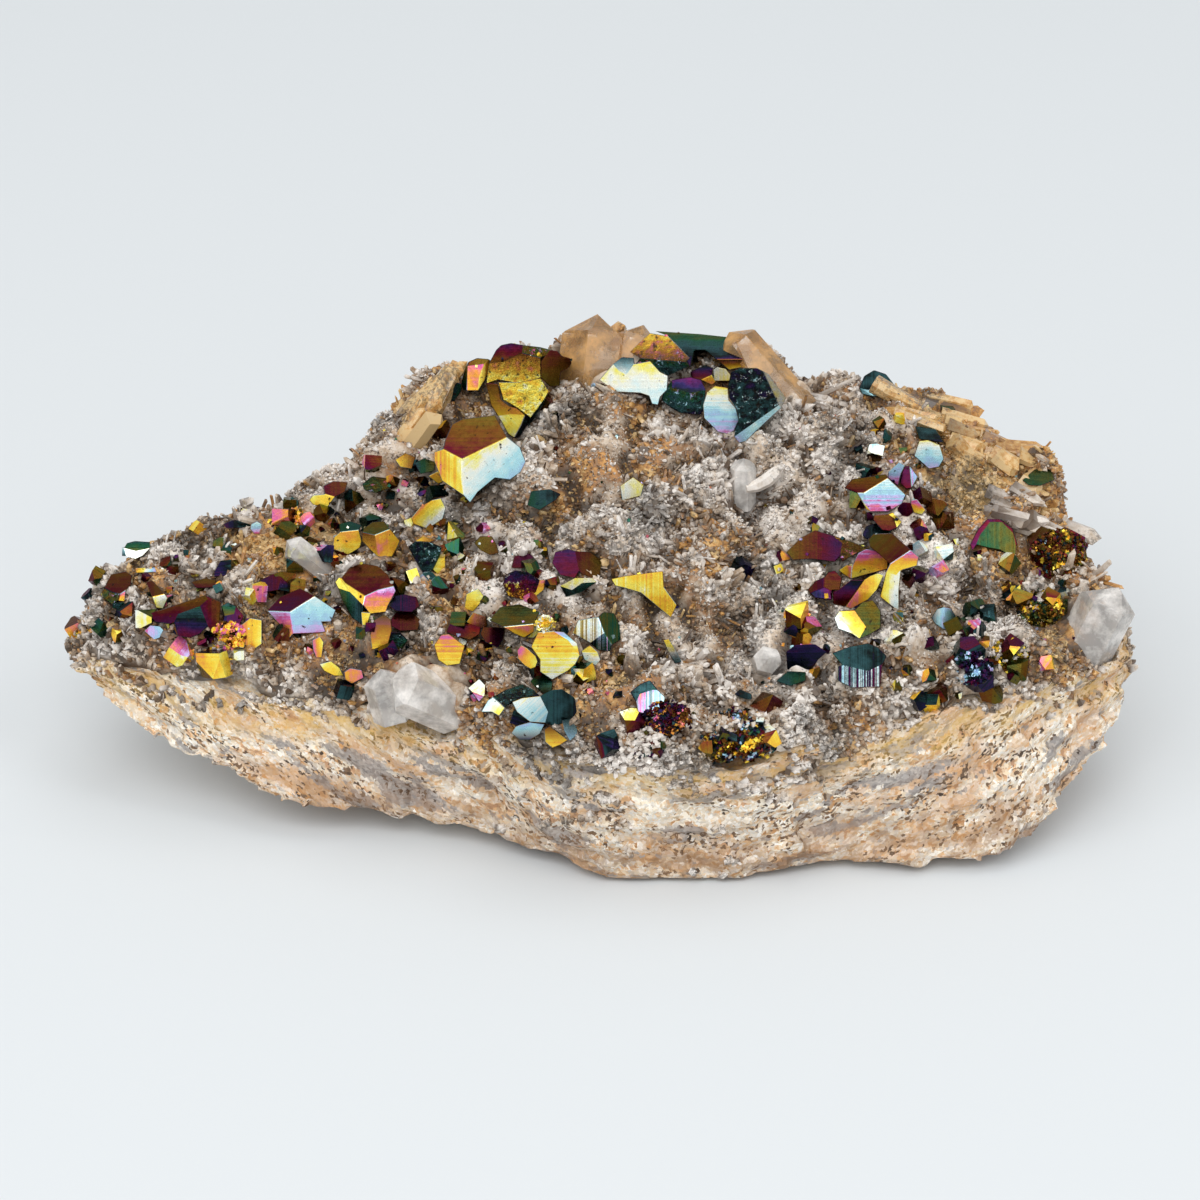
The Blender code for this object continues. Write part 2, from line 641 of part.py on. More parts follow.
def scatter_points(collection):
    """Small quartz points that stand at all angles on the crust, their bases sunk in it."""
    chance = random.Random("druse points")
    for i in range(POINT_COUNT):
        rim = RIM_COLUMNS[chance.randrange(COLUMNS)]
        place = AXIS.lerp(rim.xy, math.sqrt(chance.uniform(0.02, 0.78)))
        half_length = chance.uniform(*POINT_LENGTH) / 2
        planes = quartz_planes(half_length, chance.uniform(*POINT_RADIUS), 0.9, 0.0, chance)
        lean = Vector((chance.uniform(-0.9, 0.9), chance.uniform(-1.2, 0.6), 1.0)).normalized()
        bm = trimmed_solid(planes, half_length * 2)
        bm.transform(stood(lean, chance).to_4x4())
        base = Vector((place.x, place.y, crust_height(place.x, place.y) - POINT_SUNK))
        bm.transform(Matrix.Translation(base + lean * half_length))
        object_from(bm, f"druse_point_{i:02d}", "quartz", collection)


def helper_collection(name):
    """A collection for cutters and other helpers, which isn't part of the stone."""
    made = bpy.data.collections.new(name)
    made.hide_render = True
    bpy.context.scene.collection.children.link(made)
    return made


def combine(target, operation, helpers):
    """Joins the helpers to the target or cuts them from it, and keeps its largest body."""
    if not helpers:
        return
    operands = helper_collection(f"operands of {target.name}")
    for helper in helpers:
        operands.objects.link(helper)
    boolean = target.modifiers.new(operation.lower(), "BOOLEAN")
    boolean.operation = operation
    boolean.solver = "EXACT"
    boolean.operand_type = "COLLECTION"
    boolean.collection = operands
    graph = bpy.context.evaluated_depsgraph_get()
    mesh = bpy.data.meshes.new_from_object(target.evaluated_get(graph))
    target.modifiers.clear()
    target.data = mesh
    bpy.data.collections.remove(operands)
    keep_largest(mesh)


def keep_largest(mesh):
    """Deletes all but the body with most corners, as a chip cut loose would fall away."""
    bm = bmesh.new()
    bm.from_mesh(mesh)
    bodies = []
    left = set(bm.verts)
    while left:
        body = set()
        edge_of_body = [next(iter(left))]
        while edge_of_body:
            vertex = edge_of_body.pop()
            if vertex in body:
                continue
            body.add(vertex)
            edge_of_body += [edge.other_vert(vertex) for edge in vertex.link_edges]
        bodies.append(body)
        left -= body
    bodies.sort(key=len)
    for body in bodies[:-1]:
        bmesh.ops.delete(bm, geom=list(body), context="VERTS")
    bmesh.ops.remove_doubles(bm, verts=bm.verts[:], dist=MERGE)
    bmesh.ops.dissolve_degenerate(bm, edges=bm.edges[:], dist=MERGE)
    bm.to_mesh(mesh)
    bm.free()


def boxes_meet(a, b):
    """Whether the boxes of two objects' meshes overlap."""
    ranges = []
    for item in (a, b):
        places = [vertex.co for vertex in item.data.vertices]
        ranges.append([(min(p[i] for p in places), max(p[i] for p in places)) for i in range(3)])
    return all(low[0] < high[1] and high[0] < low[1] for low, high in zip(*ranges))


def pocket_round(name, sockets, collection):
    """The hollow that a few neighbouring crystals sit in: a convex form round their sockets."""
    bm = bmesh.new()
    for socket in sockets:
        for corner in socket.data.vertices:
            bm.verts.new(corner.co)
    bmesh.ops.convex_hull(bm, input=bm.verts[:])
    bmesh.ops.delete(bm, geom=[v for v in bm.verts if not v.link_faces], context="VERTS")
    bmesh.ops.dissolve_limit(bm, angle_limit=FLAT_WITHIN, verts=bm.verts[:], edges=bm.edges[:])
    return object_from(bm, f"{name}_pocket", "pyrite", collection)


def build_crystals(stone, helpers):
    """All the separate crystals. Returns the pockets that they sit in, larger all round by the gap."""
    sockets = []
    pockets = []
    rows = [(name, members, pyrite_crystal) for name, members in PYRITES.items()]
    rows += [(name, members, quartz_crystal) for name, members in QUARTZES.items()]
    for name, members, make in rows:
        crystal = make(name, members[0], 0.0, stone)
        combine(crystal, "UNION", [make(name, row, 0.0, helpers) for row in members[1:]])
        combine(crystal, "DIFFERENCE", [socket for socket in sockets if boxes_meet(socket, crystal)])
        own = [make(f"{name}_socket", row, GAP, helpers) for row in members]
        sockets += own
        for first in range(0, len(own), POCKET_HOLDS):
            pockets.append(pocket_round(name, own[first : first + POCKET_HOLDS], helpers))
    return pockets


def clear_scene():
    """Removes what the scene starts with."""
    for old in list(bpy.data.objects):
        bpy.data.objects.remove(old, do_unlink=True)


def main():
    clear_scene()
    stone = bpy.data.collections.new("rainbow_pyrite_on_quartz")
    bpy.context.scene.collection.children.link(stone)
    helpers = helper_collection("helpers")
    pockets = build_crystals(stone, helpers)
    granite = build_granite(stone)
    combine(granite, "DIFFERENCE", pockets)
    crust = build_crust(stone, helpers)
    points = helper_collection("points")
    scatter_points(points)
    combine(crust, "UNION", list(points.objects))
    combine(crust, "DIFFERENCE", pockets)
    for helper in list(helpers.objects) + list(points.objects):
        bpy.data.objects.remove(helper, do_unlink=True)
    for piece in stone.objects:
        piece.data.transform(Matrix.Scale(METRES_PER_MM, 4))


main()
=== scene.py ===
"""Rainbow pyrite on quartz: the looks of the specimen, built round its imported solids.

The rock is remeshed and broken up, the crust becomes a bed of tens of thousands of small quartz
points, and each pyrite crystal gets bevelled edges, striations and its tarnish colours.
Lengths in the code are millimetres, and each mesh is written in metres.
"""

import math
import random

import bmesh
import bpy
import numpy as np
from bpy.props import FloatProperty, FloatVectorProperty, IntProperty, PointerProperty
from mathutils import Matrix, Vector, noise
from mathutils.bvhtree import BVHTree


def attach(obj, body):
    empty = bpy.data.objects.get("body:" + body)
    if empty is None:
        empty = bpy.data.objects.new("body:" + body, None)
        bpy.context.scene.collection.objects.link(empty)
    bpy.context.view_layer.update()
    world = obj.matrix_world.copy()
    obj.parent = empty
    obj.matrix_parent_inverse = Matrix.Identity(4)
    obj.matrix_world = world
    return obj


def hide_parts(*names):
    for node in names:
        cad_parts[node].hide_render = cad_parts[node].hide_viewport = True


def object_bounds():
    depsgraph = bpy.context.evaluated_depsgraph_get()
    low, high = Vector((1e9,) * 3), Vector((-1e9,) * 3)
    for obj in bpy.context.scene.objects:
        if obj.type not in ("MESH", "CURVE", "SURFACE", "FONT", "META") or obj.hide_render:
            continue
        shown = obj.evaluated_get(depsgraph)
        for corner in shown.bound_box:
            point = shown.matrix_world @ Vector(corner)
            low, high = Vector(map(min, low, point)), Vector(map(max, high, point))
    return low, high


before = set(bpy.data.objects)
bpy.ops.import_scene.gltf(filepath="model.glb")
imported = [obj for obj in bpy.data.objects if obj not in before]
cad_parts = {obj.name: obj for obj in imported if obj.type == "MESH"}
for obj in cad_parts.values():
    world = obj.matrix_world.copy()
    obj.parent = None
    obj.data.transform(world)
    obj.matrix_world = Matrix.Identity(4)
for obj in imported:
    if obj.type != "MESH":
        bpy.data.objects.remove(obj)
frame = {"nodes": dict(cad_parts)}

bl_info = {
    "name": "Rainbow pyrite on quartz",
    "version": (1, 0, 0),
    "blender": (4, 5, 0),
    "location": "View3D > Sidebar > Specimen",
    "description": "Builds the rock, the quartz and the tarnished pyrite of a cabinet specimen",
    "category": "Add Mesh",
}

CAD_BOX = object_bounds()
BODY = "root"
MM = 0.001
MERGE = 0.000001
QUARTZ_IOR = 1.544

# The view that places are read in: pixels of a square picture 1200 pixels wide
PICTURE = 1200
MM_PER_PX = 0.112
VIEW_ELEVATION = math.radians(30)
VIEW_DISTANCE = 500.0
VIEW_TARGET = Vector((-9.0, 10.0, 19.2))
SENSOR = 36.0
RIGHT = Vector((1, 0, 0))
UP = Vector((0, math.sin(VIEW_ELEVATION), math.cos(VIEW_ELEVATION)))
TOWARD = Vector((0, -math.cos(VIEW_ELEVATION), math.sin(VIEW_ELEVATION)))
EYE = VIEW_TARGET + TOWARD * VIEW_DISTANCE
# A height over the whole stone, from which sight lines go straight down
ABOVE = 90.0
DOWN = Vector((0, 0, -1))

AXIS = Vector((-9.0, 10.0))
# The rim of the rock's top, as in the solid: a pixel and a height
RIM = [
    (61, 642, 17.0), (83, 606, 18.5), (118, 566, 20.4), (185, 541, 22.2), (250, 517, 23.9),
    (310, 492, 25.6), (360, 462, 27.0), (390, 410, 29.7), (432, 382, 31.2), (500, 372, 31.9),
    (575, 354, 33.2), (645, 350, 33.5), (740, 362, 32.8), (830, 388, 31.4), (900, 396, 31.0),
    (960, 412, 30.1), (1012, 452, 27.8), (1066, 488, 25.8), (1076, 522, 24.0), (1092, 564, 22.0),
    (1118, 602, 20.0), (1135, 640, 18.2), (1112, 660, 18.0), (1050, 680, 18.2), (1000, 694, 17.6),
    (930, 708, 16.8), (850, 737, 15.6), (760, 764, 15.0), (650, 770, 15.0), (560, 760, 14.8),
    (500, 741, 14.6), (430, 717, 14.6), (350, 704, 14.6), (250, 692, 15.0), (180, 682, 15.6),
    (110, 664, 16.2),
]

# Places of the druse with more iron stain: pixel, spread in mm, and how much
STAINS = [
    ((925, 405), 5.0, 0.75), ((1000, 465), 6.0, 0.7), ((425, 392), 4.5, 0.5), ((583, 345), 4.0, 0.45),
    ((300, 545), 6.0, 0.25), ((640, 520), 9.0, 0.2), ((1030, 600), 6.0, 0.15), ((220, 650), 8.0, 0.15),
    ((700, 640), 6.0, 0.1), ((860, 600), 9.0, -0.25), ((700, 700), 9.0, -0.25), ((760, 480), 8.0, -0.2),
    ((520, 520), 6.0, -0.1), ((600, 450), 7.0, 0.1), ((420, 640), 7.0, 0.05),
]

# Tones of the tarnish: a place on its colour run, and whether the face is painted deep (0) or bright (1), a
# painted reflection of dark surroundings or of the lamps.
# The runs join up end to start, and a "+" after a tone goes one whole run further.
TONES = {
    "olive": (0.0, 0.0), "bronze": (0.12, 0.0), "burgundy": (0.25, 0.0), "purple": (0.38, 0.0),
    "navy": (0.48, 0.0), "black": (0.58, 0.0), "teal": (0.69, 0.0), "green": (0.81, 0.0),
    "khaki": (0.92, 0.0), "ash": (0.4, 0.35), "pink": (0.0, 1.0), "orange": (0.1, 1.0),
    "gold": (0.22, 1.0), "lemon": (0.34, 1.0), "white": (0.46, 1.0), "ice": (0.56, 1.0),
    "cyan": (0.66, 1.0), "mist": (0.68, 0.5), "blue": (0.78, 1.0), "lilac": (0.9, 1.0),
    "magenta": (0.96, 1.0),
}
# The tarnish colours of faces painted dark, a painted reflection of dark surroundings
TARNISH_RUN_PAINTED_DARK = [
    (0.0, "#625018"), (0.12, "#653D14"), (0.25, "#5A1020"), (0.38, "#481640"), (0.48, "#221C42"),
    (0.58, "#101816"), (0.69, "#2C4A4E"), (0.81, "#1D4B33"), (0.92, "#4A5026"), (1.0, "#625018"),
]
# The tarnish colours of faces painted bright, a painted reflection of the lamps and the pale room
TARNISH_RUN_PAINTED_BRIGHT = [
    (0.0, "#E9709A"), (0.1, "#EC9A3A"), (0.22, "#FFD236"), (0.34, "#FFF468"), (0.46, "#FFFFF0"),
    (0.56, "#E6FAF8"), (0.66, "#B8ECF4"), (0.78, "#A6CCEC"), (0.9, "#DDB8F0"), (0.96, "#D05A9A"),
    (1.0, "#E9709A"),
]

# How each kind of face leans: how its depth changes to the right and upward in the picture
LEANINGS = {
    "T": (0.0, -1.2), "F": (0.0, 0.45), "L": (0.9, -0.1), "R": (-0.9, -0.1), "B": (0.0, 1.2),
    "TL": (0.5, -0.9), "TR": (-0.5, -0.9), "FL": (0.5, 0.3), "FR": (-0.5, 0.3),
}
WAYS = {"d": (0, 1), "u": (0, -1), "r": (1, 0), "l": (-1, 0), "dr": (0.7, 0.7), "dl": (-0.7, 0.7)}
# Corners nearer to each other than this, in pixels, are one
SNAP = 2.0

# Faces of the crystals of each node, as they are seen: leaning, tones, and corners in pixels. The tones
# paint each face dark or bright as well as giving its tarnish colour: a painted reflection.
FACETS = {
    "pyrite_gold_large": [
        ["T olive>burgundy:d 443,449 445,440 452,424 462,419 495,415 507,437 462,459",
         "FR lemon>blue:dr 462,459 507,437 520,447 526,462 521,472 510,480 495,478 478,492 470,503 "
         "464,496 461,478",
         "FL orange>lemon:r* 434,452 443,449 462,459 461,478 464,496 442,481 434,461"],
    ],
    "pyrite_back_left_cluster": [
        ["T bronze>olive:r 468,362 477,358 489,359 484,364 468,366",
         "F magenta>gold+:d 468,366 484,364 479,377 478,391 467,391",
         "L olive+>teal:d 461,384 464,372 468,362 468,366 467,391 463,390",
         "R lemon>bronze:r* 484,364 489,359 493,363 486,378 478,391 479,377"],
        ["T purple>bronze:d 496,350 501,345 511,343 523,345 522,353 505,361 489,363",
         "TR olive+>khaki:r# 523,345 540,347 556,351 541,358 522,353",
         "F bronze>gold:d# 489,363 505,361 522,353 541,358 541,378 520,384 498,380 486,384"],
        ["FR burgundy>olive:d 541,362 550,350 558,351 562,356 570,358 572,363 569,368 561,372 560,386 "
         "550,387 541,378"],
        ["F gold>lemon:d# 498,382 520,382 541,378 549,391 545,398 530,418 517,408 503,400",
         "R black>black:d 530,418 545,398 543,405 528,428"],
        ["F bronze>orange:d 486,383 498,384 501,400 509,406 517,408 525,415 511,414 498,416 491,405",
         "F gold>lemon:dl 498,416 511,414 525,415 521,425 514,438 508,434",
         "R black>black:d 525,415 532,418 520,437 514,438 521,425"],
    ],
    "pyrite_back_centre_cluster": [
        ["T khaki>purple:d 655,331 700,334 728,337 733,342 743,359 716,359 706,350 694,350 690,368 "
         "682,350 668,336",
         "F olive>lemon:d 716,359 743,359 747,367 738,368 729,370"],
        ["TL gold>olive:d# 630,352 640,342 650,333 668,336 682,350 690,358 686,362 660,360 640,358",
         "F khaki>black:d# 640,358 660,360 686,362 690,366 668,376 660,372 650,366 634,366"],
        ["FL lemon>cyan:d 599,380 613,364 618,370 626,375 634,364 650,361 660,372 668,376 667,390 660,397 "
         "658,405 652,404 649,396 640,393 617,392 606,385",
         "T teal>ice:d 613,364 622,357 634,358 634,364 626,375 618,370"],
        ["T purple>black:d 672,380 690,377 701,380 706,390 690,393 672,388",
         "F black>khaki:u# 661,400 664,391 672,380 672,388 690,393 706,390 704,410 700,415 680,413 671,408"],
        ["T black>bronze:d 690,372 705,365 713,368 712,375 701,380 692,378",
         "F gold>orange:d 701,380 712,375 716,382 712,385"],
        ["F white>lemon:r 713,370 717,367 726,369 732,377 732,381 714,381"],
        ["F lemon>lilac:d* 704,418 703,405 707,392 715,386 728,388 729,400 736,408 739,420 734,431 727,434 "
         "718,432 711,425"],
        ["FR black>teal:d# 728,385 731,372 740,368 757,368 763,371 779,405 734,437 735,430 739,420 "
         "736,408 729,398",
         "R ash>ash:d 763,371 768,374 786,398 781,408 779,405",
         "B ice>blue:dl 734,437 779,405 781,408 768,420 746,441 739,443"],
    ],
    "pyrite_cyan_cluster": [
        ["F ice>pink+:d* 864,493 888,478 906,495 902,504 888,512 871,512 863,501",
         "L lilac>orange:d 857,493 864,493 863,501 871,512 866,509",
         "TL olive>burgundy:d 844,488 852,479 872,476 886,474 888,478 864,493 857,493"],
        ["F cyan>pink+:d* 888,472 899,462 905,466 901,474 898,486 888,478"],
        ["T purple>burgundy:d 901,474 905,466 910,466 912,488 906,489 900,483",
         "R lilac>cyan:r* 910,466 918,477 912,488"],
        ["F purple>burgundy:r 897,508 903,502 911,503 914,512 908,517 899,515"],
        ["F lilac>lemon+:d 911,500 917,499 926,510 922,515 914,513 910,505"],
        ["T bronze>burgundy:d 874,515 888,514 894,518 897,528 890,531 882,530 873,520",
         "R gold>lemon:d 888,514 893,512 902,522 897,528 894,518"],
    ],
    "pyrite_dark_green_small": [["T navy>green:r 862,535 866,526 876,523 892,530 889,534 866,539"]],
    "pyrite_right_cluster": [
        ["T olive>purple:r 786,552 800,538 815,530 832,535 842,543 840,556 835,562 812,559 793,560",
         "TR bronze>olive:r# 832,535 850,541 870,549 858,553 842,562 840,556 842,543"],
        ["F lilac>lemon+:d 852,566 858,553 866,549 879,551 888,560 888,569 876,572 851,579",
         "FL pink>lemon:l 838,570 846,565 852,566 851,579 843,574"],
        ["T olive>burgundy:dr 868,540 873,534 892,533 911,550 890,564 880,555 870,547",
         "F magenta>lemon+:d 890,564 911,550 919,557 917,566 903,570 896,575 886,572",
         "F gold>ice:r 886,572 896,575 901,571 899,590 899,612 880,597 884,580"],
        ["F pink>lemon:r 864,580 870,576 878,573 884,575 877,590 868,600 851,609 845,607 855,593"],
        ["T bronze>purple:r 807,590 815,581 824,577 824,587 810,593",
         "T burgundy>bronze:d 824,577 828,572 835,570 842,578 840,590 830,590 824,587",
         "F black>purple:r 810,593 824,587 832,590 832,600 815,598"],
        ["F black>bronze:d 838,590 851,580 864,580 855,593 845,607 833,604 833,592"],
        ["FL orange>ice:dl 834,618 839,611 854,610 866,627 859,639 852,634 838,629",
         "TR olive+>khaki:d 854,610 862,602 873,600 881,611 881,628 871,634 859,639 866,627"],
    ],
    "pyrite_pink_disc": [["F lemon>lilac:d 919,441 928,440 940,445 944,459 939,467 929,469 914,456"]],
    "pyrite_green_back": [["T teal>black:d 915,426 936,429 944,443 928,440 919,439"]],
    "pyrite_green_wedge": [
        ["F green>olive+:r 976,545 980,535 990,522 1002,522 1013,533 1016,546 1015,559 1000,550 988,548",
         "TL burgundy>purple:d 972,551 970,544 978,529 987,519 990,522 980,535 976,545",
         "TR purple>burgundy:r 987,519 1000,519 1013,529 1018,545 1016,546 1013,533 1002,522 990,522"],
    ],
    "pyrite_teal_comb": [
        ["T teal>black:r 832,653 851,646 868,643 878,647 887,656 883,664 868,671 842,665",
         "F black>navy:r** 838,666 842,665 868,671 883,664 880,687 852,688 838,681"],
    ],
    "pyrite_teal_left": [
        ["F navy>black:d 786,652 795,645 815,644 827,652 818,660 812,670 787,670"],
        ["T teal>green:r 776,681 788,671 806,672 806,680 790,686"],
    ],
    "pyrite_blue_cone": [["F navy>blue:r* 931,618 937,609 944,607 944,630 935,624",
                          "FR blue>teal:r* 944,607 951,608 956,616 950,627 944,630"]],
    "pyrite_left_tip": [
        ["T teal>khaki:d 124,548 127,543 135,541 150,542 150,548 136,551",
         "F white>white:d 124,548 136,551 150,548 142,556 135,559 126,556",
         "L ice>teal:d 122,556 122,547 124,548 126,556"],
    ],
    "pyrite_maroon_left": [
        ["T bronze>burgundy:d 104,588 111,574 126,571 132,575 131,584 126,590 120,594 112,592",
         "F magenta>gold+:d 120,594 126,590 125,602 118,601",
         "L olive+>green:d# 101,592 104,588 112,592 120,594 118,601 112,605 103,598"],
        ["F black>khaki:d# 112,603 125,602 124,611 112,608"],
    ],
    "pyrite_yellow_left": [
        ["T burgundy>olive:r 146,582 152,580 158,586 165,594 152,597",
         "F lemon>white:r 152,597 165,594 168,598 163,609 156,608"],
    ],
    "pyrite_left_cluster": [
        ["TL olive>purple:d 147,614 160,610 175,605 205,595 208,599 200,606 178,614 170,624 155,622",
         "F green>burgundy:d 178,614 200,606 208,626 200,634 190,638 178,636 174,622",
         "TR purple>bronze:r 205,595 212,598 221,602 219,630 212,633 208,626 200,606 208,599"],
        ["T olive>burgundy:d 191,582 205,578 216,580 216,587 205,588 196,588"],
        ["TL teal>olive+:d 221,606 228,602 236,606 234,614 224,616",
         "TR black>burgundy:r 234,614 236,606 244,616 238,629 226,634 220,632 224,616"],
        ["T bronze>gold:d 219,637 236,634 246,642 244,648 228,646"],
        ["F pink>lemon:r 236,636 240,626 250,618 262,620 262,644 255,649 248,648"],
        ["F pink+>cyan:r 144,631 150,625 160,626 164,630 160,638 154,640"],
    ],
    "pyrite_rainbow_large": [
        ["T burgundy>purple:d 267,611 280,597 300,588 315,596 290,612",
         "F ice>lilac:d 290,612 315,596 336,610 331,622 322,622 326,632 318,633 293,634",
         "L lilac>orange+:d 267,611 290,612 293,634 289,639 280,625"],
        ["T navy>burgundy:r 257,584 262,579 275,573 282,577 278,590 262,593 257,590",
         "TR burgundy>teal:d 282,577 292,587 290,592 278,590"],
    ],
    "pyrite_amber_cluster": [
        ["T bronze>burgundy:d 341,578 350,567 362,563 378,566 388,575 394,586 378,590 365,596 345,583",
         "FR lilac>gold+:d 365,596 378,590 394,586 396,591 388,606 386,612 370,614 363,605",
         "L lemon>gold:r 335,582 339,577 341,578 345,583 365,596 363,605 350,592 338,588",
         "L khaki>black:r 338,588 350,592 363,605 362,625 352,618 342,600"],
        ["F gold>lemon:d 361,612 371,613 367,626 362,625"],
        ["T black>burgundy:r* 389,606 394,596 404,594 417,597 420,606 412,612 396,611"],
        ["T burgundy>bronze:r 391,619 396,612 412,612 421,620 418,630 400,631 391,626"],
        ["F olive>gold:d 374,620 384,614 391,620 392,630 388,645 372,650 370,635"],
        ["F black>olive+:d# 384,632 400,632 408,640 400,652 386,648"],
    ],
    "pyrite_yellow_pair": [
        ["F orange>lemon:d 332,549 334,537 340,532 359,530 362,541 360,548 348,555 340,552",
         "T green>teal:r 340,532 339,524 350,521 362,525 359,530"],
        ["FR orange>gold:r 375,535 390,529 400,541 396,550 392,557 378,557",
         "FL bronze>gold:d 362,532 375,535 378,557 370,550 362,541",
         "T olive+>khaki:d 362,532 364,528 372,522 384,521 390,529 375,535"],
    ],
    "pyrite_violet_small": [
        ["T purple>green:r 223,524 232,520 250,520 251,526 240,528 226,528"],
        ["F ice>pink+:d 251,524 257,521 262,524 262,534 254,534 250,529"],
    ],
    "pyrite_brown_back": [
        ["T burgundy>bronze:r 323,486 333,481 348,482 345,492 335,497 325,494",
         "F gold>lemon:l 309,500 313,495 325,494 335,497 328,507 313,505"],
    ],
    "pyrite_olive_back": [["T green>olive+:r# 362,484 372,476 388,478 390,488 376,493 364,490"]],
    "pyrite_gold_small": [
        ["T gold>bronze:r 395,460 405,453 416,457 412,469 400,467"],
        ["T teal>olive+:r 414,463 424,458 436,462 434,471 420,474"],
    ],
    "pyrite_gold_block": [
        ["F orange>ice:dr 411,518 420,507 432,500 441,498 446,508 443,519 428,529 413,524"],
    ],
    "pyrite_dark_cluster": [
        ["F black>teal:r# 408,547 415,541 430,542 442,547 440,556 432,572 424,575 416,562",
         "T gold>bronze:r 415,541 423,536 437,540 430,542"],
    ],
    "pyrite_olive_small": [["T olive>bronze:r 474,543 480,536 492,536 497,545 499,553 490,555 480,550"]],
    "pyrite_burgundy_ball": [
        ["T purple>burgundy:dl 511,568 514,556 530,553 539,563 538,568 525,568"],
        ["F black>bronze:d# 503,585 505,575 515,570 528,572 540,580 536,592 522,600 508,596",
         "R orange>lemon:d 536,592 540,580 546,580 544,590 532,600 522,600"],
    ],
    "pyrite_purple_olive": [
        ["T purple>burgundy:d 552,563 555,552 568,549 575,551 579,571 575,578 560,575",
         "TR burgundy>olive:r 575,551 590,552 602,560 600,575 592,578 582,574 579,571"],
        ["F lemon>white:r 560,586 575,578 592,578 597,582 582,583 572,590",
         "F black>green:r 560,586 572,590 582,583 597,582 582,592 566,597"],
    ],
    "pyrite_yellow_pentagon": [
        ["F lemon>orange:d 464,609 466,594 478,588 484,596 480,604 473,612"],
        ["F gold>olive:r 466,622 473,612 486,616 488,626 478,630"],
    ],
    "pyrite_burgundy_cluster": [
        ["F pink>lemon:d* 434,645 441,635 449,634 465,646 460,664 447,666 438,660"],
        ["T purple>bronze:d 446,632 450,622 463,621 481,627 480,634 470,640 455,636"],
        ["T bronze>navy:r 480,634 483,627 496,627 505,628 503,640 498,648 485,642"],
        ["T khaki>olive+:d 489,620 500,607 520,604 540,612 534,624 503,627",
         "F pink>gold:d 503,627 534,624 534,632 524,638 515,634"],
        ["F lemon>white:r* 532,632 534,624 545,614 552,618 548,630 540,632 534,638 526,638"],
    ],
    "pyrite_sun": [
        ["F orange>white:d* 531,647 538,632 553,631 568,640 580,656 576,664 568,671 552,680 540,672 540,660",
         "TR magenta>pink:d 553,631 564,632 577,643 580,656 568,640"],
        ["FL pink>lemon:dr 517,650 521,645 527,648 536,656 538,662 534,671 525,666 518,659"],
    ],
    "pyrite_striped": [
        ["FL lemon>white:r** 572,633 578,620 590,618 598,617 604,633 590,643",
         "TR khaki>green:r* 598,617 603,612 614,613 620,625 621,640 612,645 604,633",
         "F black>green:r** 590,643 604,633 612,645 610,652 597,650"],
        ["F gold>cyan:d* 581,651 590,645 598,652 601,660 596,666 584,660"],
    ],
    "pyrite_teal_large": [
        ["F ice>lemon:dr 481,712 488,700 493,697 500,703 505,708 499,716 492,712",
         "T teal>black:d# 493,697 505,690 522,684 534,690 540,696 522,698 512,702 505,708 500,703"],
        ["FL white>mist:dr* 512,702 522,698 540,696 548,712 545,723 530,722 517,712",
         "FR teal>black:r 540,696 552,690 562,689 575,698 577,712 570,722 552,726 545,723 548,712"],
        ["F blue>navy:d 511,733 516,726 530,722 545,724 540,734 530,740 520,740"],
        ["F bronze>gold:d* 544,730 550,726 568,740 560,745 552,748 545,742"],
        ["R teal>blue:d 562,720 570,718 578,727 577,735 570,741 564,730"],
    ],
    "pyrite_bright_plate": [["F lemon>gold:r* 611,579 625,576 663,571 664,587 677,605 671,618 653,603 "
                             "641,593 624,588 615,586"]],
    "pyrite_green_shard": [["T green>black:r 527,505 531,491 550,489 561,494 556,500 540,510"]],
    "pyrite_white_pentagon": [["F white>lemon:r 620,486 633,477 644,485 641,496 622,501"]],
    "pyrite_blue_copper_cluster": [
        ["F lilac>ice:r** 636,702 640,694 652,690 658,690 666,698 662,706 650,716 638,712",
         "T black>teal:r 630,692 640,684 650,680 658,690 652,690 640,694 636,702"],
        ["F bronze>purple:d# 652,722 660,711 672,704 684,704 688,716 684,728 668,736 655,732"],
    ],
    "pyrite_teal_curved": [["F gold>teal:d 663,640 669,639 673,645 682,662 675,664 668,652"]],
    "pyrite_navy_small": [["T navy>teal:r 734,694 740,689 752,694 752,700 742,698"]],
    "pyrite_back_right_ball": [
        ["T black>teal:r 859,388 864,376 874,370 886,374 894,384 880,385 868,390",
         "F teal>ice:r 859,388 868,390 880,385 894,384 888,393 874,397 862,394"],
    ],
    "pyrite_green_edge": [["T green>khaki:r 1022,480 1035,469 1052,470 1055,480 1040,486 1028,485"]],
    "pyrite_loose_left": [
        ["T pink>lilac:r 135,568 155,567 157,572 136,573"],
        ["T khaki>black:d 530,681 541,671 553,682 552,690 545,694 534,686"],
        ["F pink>lemon:d 1002,668 1008,665 1016,668 1012,673 1006,674"],
        ["F black>green:r 446,397 457,382 462,384 462,390 454,402"],
        ["F lemon>gold:dr 319,664 331,661 340,668 344,676 334,676 324,671"],
        ["F magenta>orange+:l 344,672 350,668 362,670 364,678 352,684 345,680"],
        ["F lilac>lemon+:r 312,640 320,636 324,642 322,658 316,658 313,650"],
        ["F gold>orange:d 428,476 440,470 452,468 450,478 438,484"],
    ],
}

# Mounds and columns of grains, which keep the solid's faces: the pixel of each crystal of a node, and
# the tones of its top, front, left and right faces
TARNISH = {
    "pyrite_copper_mound": [((1057, 555), "bronze burgundy bronze olive")],
    "pyrite_gold_mound": [((1040, 606), "olive bronze green khaki")],
    "pyrite_grain_column": [((974, 665), "purple navy teal black")],
    "pyrite_grain_patch": [((735, 741), "teal bronze olive burgundy")],
}
